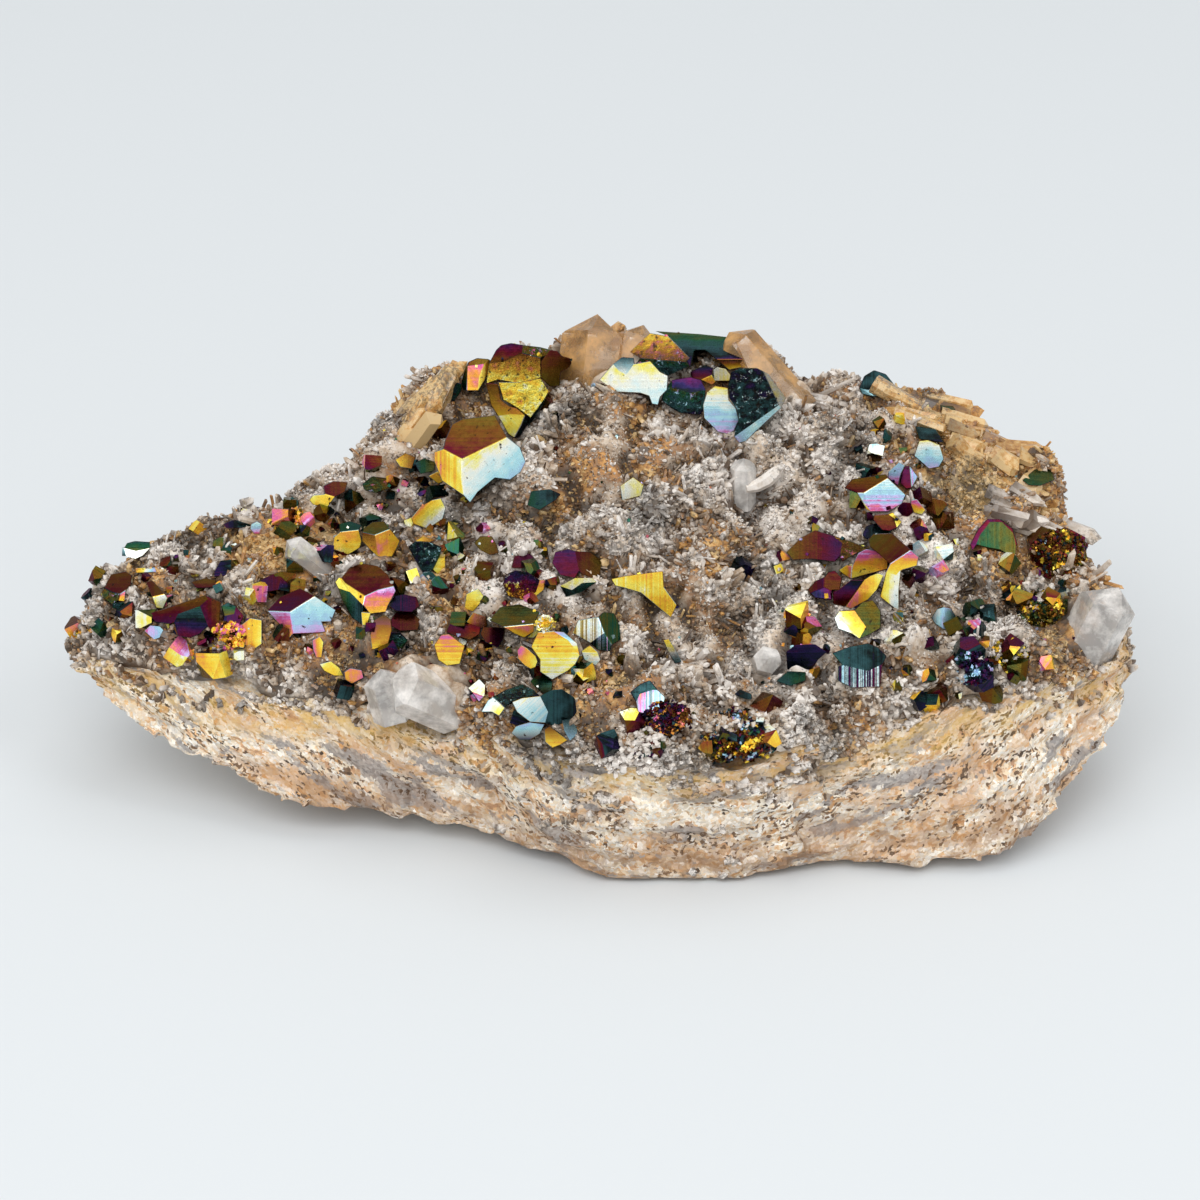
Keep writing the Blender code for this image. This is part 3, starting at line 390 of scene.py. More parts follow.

# Smaller crystals that are only in this scene: pixel, size in mm, and the four tones, which also paint
# the top, front, left and right faces dark or bright, a painted reflection
SMALL_PYRITES = [
    ((899, 419), 1.2, "gold gold lemon gold"), ((896, 472), 2.0, "pink pink lilac magenta"),
    ((909, 478), 1.9, "purple purple purple magenta"), ((920, 549), 1.6, "ice ice ice white"),
    ((942, 553), 1.8, "ice white ice teal"), ((938, 570), 1.8, "pink pink magenta pink"),
    ((740, 572), 2.6, "black black teal black"), ((797, 616), 2.4, "gold bronze gold orange"),
    ((768, 704), 2.3, "bronze orange bronze burgundy"), ((609, 742), 2.2, "black black burgundy black"),
    ((918, 701), 1.8, "black black black navy"), ((454, 389), 2.0, "black green black black"),
    ((513, 421), 2.8, "gold orange gold orange"), ((257, 528), 1.4, "pink cyan pink cyan"),
    ((413, 579), 1.6, "white lemon white lemon"), ((427, 578), 1.3, "cyan teal blue cyan"),
    ((476, 618), 2.2, "bronze gold bronze gold"), ((541, 682), 2.6, "black black navy black"),
    ((591, 652), 2.4, "blue blue teal navy"), ((493, 705), 2.6, "ice cyan ice blue"),
    ((366, 617), 1.8, "gold lemon gold gold"), ((406, 622), 2.9, "burgundy burgundy magenta burgundy"),
    ((390, 634), 3.2, "olive gold olive bronze"), ((146, 570), 2.4, "pink ice pink white"),
    ((114, 600), 2.6, "green gold green black"), ((162, 617), 2.8, "purple bronze purple bronze"),
    ((154, 630), 2.2, "pink cyan lilac cyan"), ((249, 596), 1.4, "lemon lemon white gold"),
    ((232, 641), 2.3, "orange bronze orange gold"), ((238, 654), 1.2, "lemon lemon white gold"),
    ((180, 653), 2.4, "pink lemon pink gold"), ((215, 662), 3.0, "bronze gold olive gold"),
    ((317, 646), 2.0, "purple lemon purple pink"), ((330, 669), 2.5, "lemon green lemon green"),
    ((354, 676), 2.2, "orange pink magenta orange"), ((346, 690), 2.1, "black black black green"),
    ((101, 630), 1.6, "green green olive green"), ((119, 634), 1.4, "gold gold gold olive"),
    ((78, 626), 2.2, "bronze orange bronze gold"), ((199, 529), 1.6, "gold orange gold gold"),
    ((1012, 669), 1.1, "pink pink pink pink"), ((1045, 663), 1.6, "pink orange pink gold"),
    ((974, 610), 2.0, "green black green teal"), ((544, 624), 1.9, "lemon white lemon gold"),
    ((579, 584), 3.4, "lemon white black lemon"), ((350, 526), 2.2, "green black green black"),
    ((446, 468), 3.0, "gold orange gold gold"), ((425, 466), 2.2, "teal olive teal teal"),
    ((286, 518), 2.4, "bronze gold olive bronze"), ((1022, 600), 2.0, "green olive gold green"),
    ((1010, 650), 2.2, "green gold bronze green"), ((630, 720), 2.2, "bronze burgundy bronze purple"),
    ((709, 748), 2.0, "gold bronze gold teal"), ((766, 738), 2.0, "burgundy bronze burgundy gold"),
]

# Patches of pyrite grains: pixel, radius in mm, how many, and their tones
GRAIN_PATCHES = [
    ((1060, 553), 3.3, 110, "black bronze bronze burgundy bronze olive bronze khaki gold"),
    ((739, 740), 4.3, 170, "blue navy teal black black bronze burgundy olive bronze gold"),
    ((668, 720), 2.8, 80, "bronze burgundy purple navy black orange bronze"),
    ((642, 737), 3.0, 90, "bronze black purple teal burgundy navy"),
    ((1040, 607), 2.7, 90, "black green khaki olive olive bronze gold"),
    ((1010, 654), 2.2, 60, "green gold olive bronze"),
    ((973, 668), 2.3, 70, "blue teal black navy purple navy"),
    ((78, 626), 1.6, 40, "bronze orange olive gold"),
    ((228, 636), 2.0, 50, "pink gold orange bronze"),
    ((286, 518), 2.0, 50, "bronze gold olive orange"),
    ((215, 662), 2.0, 50, "bronze gold olive orange"),
    ((180, 653), 1.6, 36, "pink lemon gold orange"),
    ((545, 624), 1.1, 20, "lemon white gold"),
    ((797, 616), 1.4, 30, "gold bronze orange"),
]


def linear(hex_colour):
    """The linear RGB of an sRGB hex colour."""
    parts = [int(hex_colour[i : i + 2], 16) / 255 for i in (1, 3, 5)]
    return [part / 12.92 if part <= 0.04045 else ((part + 0.055) / 1.055) ** 2.4 for part in parts]


def add_node(tree, kind, inputs=None, run=None, **settings):
    """Adds a node: settings are its properties, inputs a value or a socket each, run a ramp's stops."""
    made = tree.nodes.new(kind)
    for name, value in settings.items():
        setattr(made, name, value)
    for name, value in (inputs or {}).items():
        socket = made.inputs[name]
        if isinstance(value, bpy.types.NodeSocket):
            tree.links.new(value, socket)
        elif isinstance(value, str):
            socket.default_value = (*linear(value), 1.0)
        else:
            socket.default_value = value
    if run:
        stops = made.color_ramp.elements
        while len(stops) < len(run):
            stops.new(0.5)
        for stop, (place, colour) in zip(stops, run):
            stop.position = place
            stop.color = (*linear(colour), 1.0)
    return made


def new_material(name):
    """An empty material with its output node: the material and its tree."""
    made = bpy.data.materials.new(name)
    made.use_nodes = True
    made.node_tree.nodes.clear()
    return made, made.node_tree


def per_mm(wavelength):
    """A texture scale, in cells a metre, whose cells are this many millimetres across."""
    return 1.0 / (wavelength * MM)


# Places


def sight_ray(px, py):
    """The direction from the eye through a pixel."""
    across = (px - PICTURE / 2) * MM_PER_PX
    upward = (PICTURE / 2 - py) * MM_PER_PX
    return (RIGHT * across + UP * upward - TOWARD * VIEW_DISTANCE).normalized()


def at(px, py, height):
    """The point on a pixel's sight line that is at this height."""
    ray = sight_ray(px, py)
    return EYE + ray * ((height - EYE.z) / ray.z)


def pixel_of(point):
    """The pixel at which a point is seen."""
    away = point - EYE
    scale = VIEW_DISTANCE / -away.dot(TOWARD) / MM_PER_PX
    return PICTURE / 2 + away.dot(RIGHT) * scale, PICTURE / 2 - away.dot(UP) * scale


RIM_POINTS = [at(*row) for row in RIM]
RIM_ANGLES = np.linspace(-math.pi, math.pi, 1441)


def rim_reach(angle):
    """How far the rim is from the axis at an angle."""
    ray = Vector((math.cos(angle), math.sin(angle)))
    for start, end in zip(RIM_POINTS, RIM_POINTS[1:] + RIM_POINTS[:1]):
        a, b = start.xy - AXIS, end.xy - AXIS
        side_a, side_b = ray.cross(a), ray.cross(b)
        if side_a * side_b <= 0 and side_a != side_b:
            reach = (a + (b - a) * (side_a / (side_a - side_b))).dot(ray)
            if reach > 0:
                return reach
    raise ValueError("the rim doesn't go round the axis")


RIM_REACH = np.array([rim_reach(angle) for angle in RIM_ANGLES])


def share_out(x, y):
    """How far out plan points are, from 0 at the axis to 1 at the rim."""
    angle = np.arctan2(y - AXIS.y, x - AXIS.x)
    return np.hypot(x - AXIS.x, y - AXIS.y) / np.interp(angle, RIM_ANGLES, RIM_REACH)


def tree_of(names):
    """A search tree, in mm, over the meshes of these objects."""
    corners, faces = [], []
    for item in names:
        first = len(corners)
        corners += [vertex.co / MM for vertex in item.data.vertices]
        faces += [[first + i for i in face.vertices] for face in item.data.polygons]
    return BVHTree.FromPolygons(corners, faces)


def rough(point, scales):
    """Noise at a point, summed over (wavelength, height) pairs."""
    return sum(height * noise.noise(point / wavelength) for wavelength, height in scales)


class Bed:
    """The height of the druse's ground over a plan grid, with the hollows under crystals filled."""

    STEP = 0.5
    LOW = (-72.0, -24.0)
    CELLS = (252, 142)
    CLEAR_OF_CRYSTAL = 0.9
    TURNS = np.linspace(0, math.tau, 24, endpoint=False)
    # Rounds of filling, and how many cells away each reads
    FILLING = ((60, 16), (60, 8), (80, 4), (80, 2), (260, 1))
    # Wavelengths and heights in mm of soft lumps and of knobs with creases between them
    LUMPS = ((7.0, 1.3), (3.2, 1.0), (1.6, 0.7))
    KNOBS = ((5.2, 3.0), (2.6, 1.5))
    KNOB_LEVEL = 0.22
    SMOOTHING = 14
    CAVITY_DEPTH = 0.55

    def __init__(self):
        nodes = frame["nodes"]
        crust = tree_of([nodes["quartz_crust"]])
        self.x = self.LOW[0] + self.STEP * np.arange(self.CELLS[0])
        self.y = self.LOW[1] + self.STEP * np.arange(self.CELLS[1])
        height = np.full(self.CELLS, np.nan)
        for i, x in enumerate(self.x):
            for j, y in enumerate(self.y):
                hit = crust.ray_cast(Vector((x, y, ABOVE)), DOWN)
                if hit[0] is not None:
                    height[i, j] = hit[0].z
        for name, node in nodes.items():
            if name.startswith(("pyrite", "quartz_")) and name != "quartz_crust":
                height[self.under(node)] = np.nan
        self.height = self.filled(height)
        grid_x, grid_y = np.meshgrid(self.x, self.y, indexing="ij")
        lumps = [
            rough(Vector((x, y, 5.0)), self.LUMPS) + self.knobs(Vector((x, y, 9.0)))
            for x, y in zip(grid_x.ravel(), grid_y.ravel())
        ]
        self.height += np.array(lumps).reshape(self.CELLS)
        smooth = self.height
        for _ in range(self.SMOOTHING):
            smooth = self.neighbours(smooth, 1)
        self.cavity = np.clip((smooth - self.height) / self.CAVITY_DEPTH, -1, 1)

    def knobs(self, point):
        """The height that the knobs add at a point."""
        return sum(
            high * (abs(noise.noise(point / wide)) - self.KNOB_LEVEL) for wide, high in self.KNOBS
        )

    def neighbours(self, grid, step):
        """The mean of the four cells that are this many cells away from each cell."""
        wide = np.pad(grid, step, mode="edge")
        return (
            wide[: -2 * step, step:-step] + wide[2 * step :, step:-step]
            + wide[step:-step, : -2 * step] + wide[step:-step, 2 * step :]
        ) / 4

    def covered(self, node, x, y, margin):
        """Which plan points a crystal's plan covers, with a margin."""
        places = np.array([vertex.co for vertex in node.data.vertices]) / MM
        inside = np.ones(x.shape, bool)
        for turn in self.TURNS:
            c, s = math.cos(turn), math.sin(turn)
            inside &= x * c + y * s < (places[:, 0] * c + places[:, 1] * s).max() + margin
        return inside

    def under(self, node):
        """The grid cells that a crystal's plan covers, with a margin."""
        grid_x, grid_y = np.meshgrid(self.x, self.y, indexing="ij")
        return self.covered(node, grid_x, grid_y, self.CLEAR_OF_CRYSTAL)

    def within_quartz(self, x, y):
        """Which plan points lie under one of the larger quartz crystals."""
        made = np.zeros(len(x), bool)
        for name, node in frame["nodes"].items():
            if name.startswith("quartz_") and name != "quartz_crust":
                made |= self.covered(node, x, y, 0.0)
        return made

    def filled(self, height):
        """The heights with each gap filled smoothly from its edges."""
        gap = np.isnan(height)
        made = np.where(gap, np.nanmean(height), height)
        for rounds, step in self.FILLING:
            for _ in range(rounds):
                made = np.where(gap, self.neighbours(made, step), height)
        return made

    def at(self, x, y):
        """The height at plan points."""
        return self.read(self.height, x, y)

    def cavity_at(self, x, y):
        """How deep plan points lie in a pit of the druse, from -1 on a hump to 1."""
        return self.read(self.cavity, x, y)

    def read(self, h, x, y):
        """A grid's values at plan points."""
        i = np.clip((np.asarray(x) - self.x[0]) / self.STEP, 0, self.CELLS[0] - 1.001)
        j = np.clip((np.asarray(y) - self.y[0]) / self.STEP, 0, self.CELLS[1] - 1.001)
        i0, j0 = i.astype(int), j.astype(int)
        u, v = i - i0, j - j0
        return (
            h[i0, j0] * (1 - u) * (1 - v) + h[i0 + 1, j0] * u * (1 - v)
            + h[i0, j0 + 1] * (1 - u) * v + h[i0 + 1, j0 + 1] * u * v
        )

    def normal(self, x, y):
        """The upward normals at plan points."""
        d = self.STEP
        slope_x = (self.at(x + d, y) - self.at(x - d, y)) / (2 * d)
        slope_y = (self.at(x, y + d) - self.at(x, y - d)) / (2 * d)
        made = np.stack([-slope_x, -slope_y, np.ones_like(slope_x)], -1)
        return made / np.linalg.norm(made, axis=-1, keepdims=True)


# Meshes


def write_attribute(mesh, key, values, domain="POINT"):
    """Stores a number or a vector for each vertex, or each corner of a face, of a mesh."""
    values = np.asarray(values, np.float32)
    kind, field = ("FLOAT", "value") if values.ndim == 1 else ("FLOAT_VECTOR", "vector")
    mesh.attributes.new(key, kind, domain).data.foreach_set(field, values.ravel())


def new_object(name, mesh):
    """An object in the scene for a mesh."""
    made = bpy.data.objects.new(name, mesh)
    bpy.context.scene.collection.objects.link(made)
    return made


def object_from(bm, name):
    """An object in the scene from a bmesh, which it frees."""
    mesh = bpy.data.meshes.new(name)
    bm.to_mesh(mesh)
    bm.free()
    return new_object(name, mesh)


def mesh_object(name, verts, faces, attributes=None):
    """An object from arrays in mm: faces are (loop vertex indices, loops of each face)."""
    loops, totals = faces
    mesh = bpy.data.meshes.new(name)
    mesh.vertices.add(len(verts))
    mesh.vertices.foreach_set("co", (np.asarray(verts, float) * MM).astype(np.float32).ravel())
    mesh.loops.add(len(loops))
    mesh.loops.foreach_set("vertex_index", np.asarray(loops, np.int32))
    mesh.polygons.add(len(totals))
    starts = np.concatenate([[0], np.cumsum(totals)[:-1]])
    mesh.polygons.foreach_set("loop_start", starts.astype(np.int32))
    for key, values in (attributes or {}).items():
        write_attribute(mesh, key, values)
    mesh.update(calc_edges=True)
    mesh.validate()
    mesh.shade_flat()
    return new_object(name, mesh)


def merged_copy(node, name, flat_within=math.radians(0.5)):
    """A copy of a CAD node under a new name, with its loose triangles joined into whole faces."""
    bm = bmesh.new()
    bm.from_mesh(frame["nodes"][node].data)
    bmesh.ops.remove_doubles(bm, verts=bm.verts[:], dist=MERGE)
    bmesh.ops.dissolve_limit(bm, angle_limit=flat_within, verts=bm.verts[:], edges=bm.edges[:])
    return object_from(bm, name)


def choose(piece):
    """Makes a piece the only selected and active object."""
    bpy.ops.object.select_all(action="DESELECT")
    piece.select_set(True)
    bpy.context.view_layer.objects.active = piece


def apply_modifier(piece, kind, **settings):
    """Adds a modifier to a piece and applies it."""
    choose(piece)
    bpy.ops.object.modifier_add(type=kind)
    modifier = piece.modifiers[-1]
    for name, value in settings.items():
        setattr(modifier, name, value)
    if bpy.ops.object.modifier_apply(modifier=modifier.name) != {"FINISHED"}:
        raise RuntimeError(f"{kind} could not be applied to {piece.name}")


def settle(piece, material, slot, *nodes):
    """Gives a finished piece its material, hangs it on the body that it rides on, and hides the nodes that
    it stands for.
    """
    piece.data.materials.clear()
    piece.data.materials.append(material)
    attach(piece, BODY)
    if nodes:
        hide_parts(*nodes)


def trimmed_solid(planes, reach):
    """A convex crystal as a bmesh: a cube trimmed by its faces, each a normal and a distance."""
    bm = bmesh.new()
    bmesh.ops.create_cube(bm, size=2 * reach)
    for normal, distance in planes:
        cut = bmesh.ops.bisect_plane(
            bm,
            geom=bm.verts[:] + bm.edges[:] + bm.faces[:],
            plane_co=normal * distance,
            plane_no=normal,
            clear_outer=True,
        )
        rim = [part for part in cut["geom_cut"] if isinstance(part, bmesh.types.BMEdge)]
        if rim:
            bmesh.ops.contextual_create(bm, geom=rim)
    return bm


# Materials


def attribute(tree, name, output="Fac"):
    """A value that the mesh carries under this name."""
    return add_node(tree, "ShaderNodeAttribute", attribute_name=name).outputs[output]


def math_step(tree, operation, first, second, clamp=False):
    """One operation on two values."""
    return add_node(
        tree, "ShaderNodeMath", {0: first, 1: second}, operation=operation, use_clamp=clamp
    ).outputs[0]


def between(tree, value, low, high, to=(0.0, 1.0)):
    """A value's place between two limits, clamped, as a place in another span."""
    return add_node(
        tree, "ShaderNodeMapRange",
        {"Value": value, "From Min": low, "From Max": high, "To Min": to[0], "To Max": to[1]},
    ).outputs[0]


def noise_at(tree, where, wavelength, detail, roughness=0.5):
    """Noise of a wavelength in mm: its outputs, a value and a colour."""
    return add_node(
        tree, "ShaderNodeTexNoise",
        {"Vector": where, "Scale": per_mm(wavelength), "Detail": detail, "Roughness": roughness},
    ).outputs


def over(tree, share, under, colour, blend="MIX"):
    """A colour laid over another by a share."""
    return add_node(
        tree, "ShaderNodeMix", {0: share, 6: under, 7: colour}, data_type="RGBA", blend_type=blend
    ).outputs[2]


# Cells of the granite's two grain patterns in a mm: along the foliation, into the stone, across it
LARGE_GRAIN = (1.0, 1.0, 1.8)
SMALL_GRAIN = (2.6, 2.6, 4.2)


def granite_material(colours):
    """Weathered, foliated granite, broken and not polished.

    The eye sees a granular mix of cream, tan and white feldspar, lenses and streaks of grey glassy
    quartz, ragged brown and dark flecks of mica, rust, and ochre stain under the druse.
    """
    made, tree = new_material("granite_broken_foliated")
    along = attribute(tree, "foliation", "Vector")
    where = add_node(tree, "ShaderNodeTexCoord").outputs["Object"]
    warp = add_node(
        tree, "ShaderNodeTexNoise", {"Vector": along, "Scale": 1.6, "Detail": 4.0, "Roughness": 0.7}
    )
    warp = add_node(
        tree, "ShaderNodeVectorMath", {0: warp.outputs["Color"], "Scale": 0.9}, operation="SCALE"
    )
    bent = add_node(tree, "ShaderNodeVectorMath", {0: warp.outputs[0], 1: along}, operation="ADD")
    grains = []
    for scale in (LARGE_GRAIN, SMALL_GRAIN):
        drawn = add_node(tree, "ShaderNodeMapping", {"Vector": bent.outputs[0], "Scale": scale})
        cells = add_node(tree, "ShaderNodeTexVoronoi", {"Vector": drawn.outputs[0], "Scale": 1.0}).outputs
        grains.append((cells, add_node(tree, "ShaderNodeSeparateColor", {"Color": cells["Color"]}).outputs))
    (large, shade), (small, small_shade) = grains

    def clouds(wavelengths, detail, roughness):
        """Noise over the stone, even within each small grain."""
        drawn = add_node(
            tree, "ShaderNodeMapping",
            {"Vector": small["Position"],
             "Scale": [1 / (wave * cells) for wave, cells in zip(wavelengths, SMALL_GRAIN)]},
        )
        return add_node(
            tree, "ShaderNodeTexNoise",
            {"Vector": drawn.outputs[0], "Scale": 1.0, "Detail": detail, "Roughness": roughness},
        ).outputs["Fac"]

    kind = between(tree, clouds((4.5, 4.5, 2.2), 5.0, 0.72), 0.3, 0.7)
    kind = math_step(tree, "ADD", kind, between(tree, shade[2], 0.0, 1.0, (-0.22, 0.22)))
    kind = math_step(tree, "ADD", kind, between(tree, small_shade[2], 0.0, 1.0, (-0.2, 0.2)))
    colour = add_node(
        tree, "ShaderNodeValToRGB", {"Fac": kind},
        run=[(0.0, colours["brown"]), (0.16, colours["orange"]), (0.34, colours["feldspar"]),
             (0.52, colours["white"]), (0.74, colours["feldspar"]), (0.88, colours["tan"]),
             (1.0, colours["rust"])],
    ).outputs[0]
    colour = over(tree, 0.9, colour, between(tree, small_shade[0], 0.0, 1.0, (0.7, 1.15)), "MULTIPLY")
    rust = between(tree, clouds((12.0, 12.0, 5.0), 6.0, 0.72), 0.46, 0.6, (0.0, 0.7))
    colour = over(tree, rust, colour, colours["rust"])
    grey = over(tree, small_shade[1], colours["quartz"], colours["pale_quartz"])
    lens = between(tree, clouds((10.0, 10.0, 3.0), 5.0, 0.58), 0.545, 0.565, (0.0, 0.9))
    colour = over(tree, lens, colour, grey)
    small_lens = between(tree, clouds((1.8, 1.8, 0.9), 3.0, 0.6), 0.62, 0.64, (0.0, 0.85))
    colour = over(tree, small_lens, colour, grey)
    speckled = between(tree, clouds((8.0, 8.0, 3.0), 5.0, 0.7), 0.46, 0.62, (1.0, 0.68))
    fleck = over(tree, shade[0], colours["mica"], colours["dark"])
    colour = over(tree, math_step(tree, "GREATER_THAN", small_shade[1], speckled), colour, fleck)
    stained = between(tree, clouds((4.0, 4.0, 2.0), 5.0, 0.7), 0.42, 0.6, (0.0, 0.8))
    stained = math_step(tree, "MULTIPLY", attribute(tree, "seam"), stained)
    colour = over(tree, stained, colour, colours["ochre"])
    # Darker brown towards the bottom of the rock, in patches.
    brown_towards_bottom = between(tree, clouds((3.0, 3.0, 2.0), 6.0, 0.75), 0.4, 0.6)
    brown_towards_bottom = math_step(tree, "MULTIPLY", attribute(tree, "under"), brown_towards_bottom)
    colour = over(tree, brown_towards_bottom, colour, colours["brown_towards_bottom"])
    relief = math_step(tree, "ADD", noise_at(tree, where, 0.8, 6.0, 0.75)["Fac"], large["Distance"])
    bump = add_node(tree, "ShaderNodeBump", {"Height": relief, "Strength": 0.6, "Distance": 0.2 * MM})
    shader = add_node(
        tree, "ShaderNodeBsdfPrincipled",
        {"Base Color": colour, "Roughness": between(tree, lens, 0.0, 1.0, (0.8, 0.4)),
         "Normal": bump.outputs[0], "IOR": 1.5},
    )
    add_node(tree, "ShaderNodeOutputMaterial", {"Surface": shader.outputs[0]})
    return made


def druse_material(name, run, root, transmission, roughness):
    """Quartz points of a druse, grown and not cut.

    The eye sees sugary white to brown points that catch the light on flat faces, with iron stain and grey
    dust in patches. Painted shade darkens them towards their bases and in the pits of the druse, and a few
    are dark grains all over.
    """
    made, tree = new_material(name)
    where = add_node(tree, "ShaderNodeTexCoord").outputs["Object"]
    speck = between(tree, noise_at(tree, where, 0.8, 4.0, 0.75)["Fac"], 0.3, 0.7, (-0.2, 0.2))
    stained = math_step(tree, "ADD", attribute(tree, "stain"), speck)
    colour = add_node(tree, "ShaderNodeValToRGB", {"Fac": stained}, run=run).outputs[0]
    # Painted shade: darker towards the base of each point and in the pits of the druse, by the root value;
    # it also makes a few points dark all over, as dark grains.
    colour = over(tree, math_step(tree, "POWER", attribute(tree, "root"), 1.3), colour, root)
    dust = noise_at(tree, where, 0.5, 4.0, 0.8)["Fac"]
    patches = noise_at(tree, where, 9.0, 3.0)["Fac"]
    dusty = between(tree, math_step(tree, "ADD", dust, patches), 1.06, 1.14, (0.0, 0.65))
    colour = over(tree, dusty, colour, "#4C453F")
    shader = add_node(
        tree, "ShaderNodeBsdfPrincipled",
        {"Base Color": colour, "Roughness": roughness, "IOR": QUARTZ_IOR,
         "Transmission Weight": transmission},
    )
    add_node(tree, "ShaderNodeOutputMaterial", {"Surface": shader.outputs[0]})
    return made


def clear_quartz_material(name, tint, veil_colour, density, veils):
    """Larger quartz crystals, natural faces, clear with milky veils.

    The eye sees through them to what is behind, with white veils and a faint smoky tint.
    """
    made, tree = new_material(name)
    where = add_node(tree, "ShaderNodeTexCoord").outputs["Object"]
    milky = between(tree, noise_at(tree, where, 3.2, 5.0, 0.65)["Fac"], 0.42, 0.68, veils)
    fine = noise_at(tree, where, 0.5, 3.0)["Fac"]
    bump = add_node(tree, "ShaderNodeBump", {"Height": fine, "Strength": 0.3, "Distance": 0.05 * MM})
    clear = add_node(
        tree, "ShaderNodeBsdfPrincipled",
        {"Base Color": "#FFFFFF", "Roughness": 0.06, "IOR": QUARTZ_IOR, "Transmission Weight": 1.0,
         "Normal": bump.outputs[0]},
    )
    cloud = add_node(
        tree, "ShaderNodeBsdfPrincipled",
        {"Base Color": veil_colour, "Roughness": 0.3, "IOR": QUARTZ_IOR, "Normal": bump.outputs[0]},
    )
    mixed = add_node(tree, "ShaderNodeMixShader", {0: milky, 1: clear.outputs[0], 2: cloud.outputs[0]})
    inside = add_node(tree, "ShaderNodeVolumeAbsorption", {"Color": tint, "Density": density})
    add_node(
        tree, "ShaderNodeOutputMaterial", {"Surface": mixed.outputs[0], "Volume": inside.outputs[0]}
    )
    return made


# What each corner of a pyrite face carries: its place on the colour run, its painted brightness, deep (0) or
# bright (1), a painted reflection, the coordinate across its growth lines, how strong the lines are, and
# whether it is grainy
FILM_KEYS = ("film", "bright", "stripe", "lines", "grain")


def pyrite_material():
    """Pyrite with a natural tarnish, grown faces.

    The eye sees mirror-like metal whose film shifts from gold through pink to cyan, or on faces painted dark
    from olive through burgundy to dark green, in bands along fine striations, with dull pits. The dark and
    bright faces are a painted reflection of dark surroundings and of the lamps.
    """
    made, tree = new_material("pyrite_rainbow_tarnish")
    where = add_node(tree, "ShaderNodeTexCoord").outputs["Object"]
    film, bright, stripe, strength, grain = (attribute(tree, key) for key in FILM_KEYS)
    bits = add_node(
        tree, "ShaderNodeSeparateColor", {"Color": noise_at(tree, where, 0.9, 5.0, 0.75)["Color"]}
    ).outputs
    cloud = noise_at(tree, where, 1.8, 4.0, 0.6)["Fac"]
    lines = add_node(
        tree, "ShaderNodeTexNoise",
        {"W": stripe, "Scale": 2.6, "Detail": 4.0, "Roughness": 0.75}, noise_dimensions="1D",
    ).outputs["Fac"]
    pits = noise_at(tree, where, 0.55, 3.0, 0.6)["Fac"]
    shifts = (
        (between(tree, cloud, 0.25, 0.75, (-0.07, 0.07)), between(tree, bright, 0.0, 1.0, (1.0, 1.6))),
        (between(tree, lines, 0.3, 0.7, (-0.1, 0.1)), strength),
        (between(tree, bits[0], 0.3, 0.7, (-0.13, 0.13)), grain),
    )
    place = film
    for shift, amount in shifts:
        place = math_step(tree, "ADD", place, math_step(tree, "MULTIPLY", shift, amount))
    place = math_step(tree, "FRACT", place, 0.0)
    deep = add_node(tree, "ShaderNodeValToRGB", {"Fac": place}, run=TARNISH_RUN_PAINTED_DARK).outputs[0]
    light = add_node(tree, "ShaderNodeValToRGB", {"Fac": place}, run=TARNISH_RUN_PAINTED_BRIGHT).outputs[0]
    # Painted reflection: each face is drawn from the dark or the bright run by its painted brightness, with
    # bright and dark teeth painted along strong striations and painted glints on grainy faces.
    comb = math_step(tree, "SUBTRACT", strength, 1.0, clamp=True)
    teeth = math_step(tree, "MULTIPLY", between(tree, lines, 0.47, 0.55, (-0.7, 0.8)), comb)
    glint = math_step(tree, "MULTIPLY", between(tree, bits[1], 0.58, 0.62, (0.0, 0.75)), grain)
    shown = math_step(tree, "ADD", bright, math_step(tree, "ADD", teeth, glint), clamp=True)
    colour = over(tree, shown, deep, light)
    # Painted shade: near black in the hollows between the grains of grainy faces.
    gaps = math_step(tree, "MULTIPLY", between(tree, bits[2], 0.44, 0.38, (0.0, 0.9)), grain)
    colour = over(tree, gaps, colour, "#1E1610")
    colour = over(tree, between(tree, pits, 0.66, 0.72), colour, "#2A1D16")
    relief = math_step(tree, "ADD", lines, pits)
    bump = add_node(tree, "ShaderNodeBump", {"Height": relief, "Strength": 0.35, "Distance": 0.06 * MM})
    bump = add_node(
        tree, "ShaderNodeBump",
        {"Height": math_step(tree, "MULTIPLY", bits[2], grain), "Strength": 1.0, "Distance": 0.5 * MM,
         "Normal": bump.outputs[0]},
    )
    # Faces painted bright are less metallic, as part of the painted reflection.
    shader = add_node(
        tree, "ShaderNodeBsdfPrincipled",
        {"Base Color": colour, "Metallic": between(tree, bright, 0.0, 1.0, (0.95, 0.45)),
         "Roughness": between(tree, pits, 0.35, 0.75, (0.14, 0.42)), "Normal": bump.outputs[0]},
    )
    add_node(tree, "ShaderNodeOutputMaterial", {"Surface": shader.outputs[0]})
    return made


# Rock


def foliation_of(points):
    """The rock's own coordinates at points, in mm: along the foliation, into the stone, across it."""
    x, y, z = points.T
    bowl = 0.46 * np.sqrt((x - 2.0) ** 2 + 16.0**2)
    wave = 0.9 * np.sin(x / 9.0 + y / 7.0) + 0.5 * np.sin(x / 4.1 - y / 3.0)
    return np.stack([x, y, z - bowl + 0.12 * y + wave], -1)


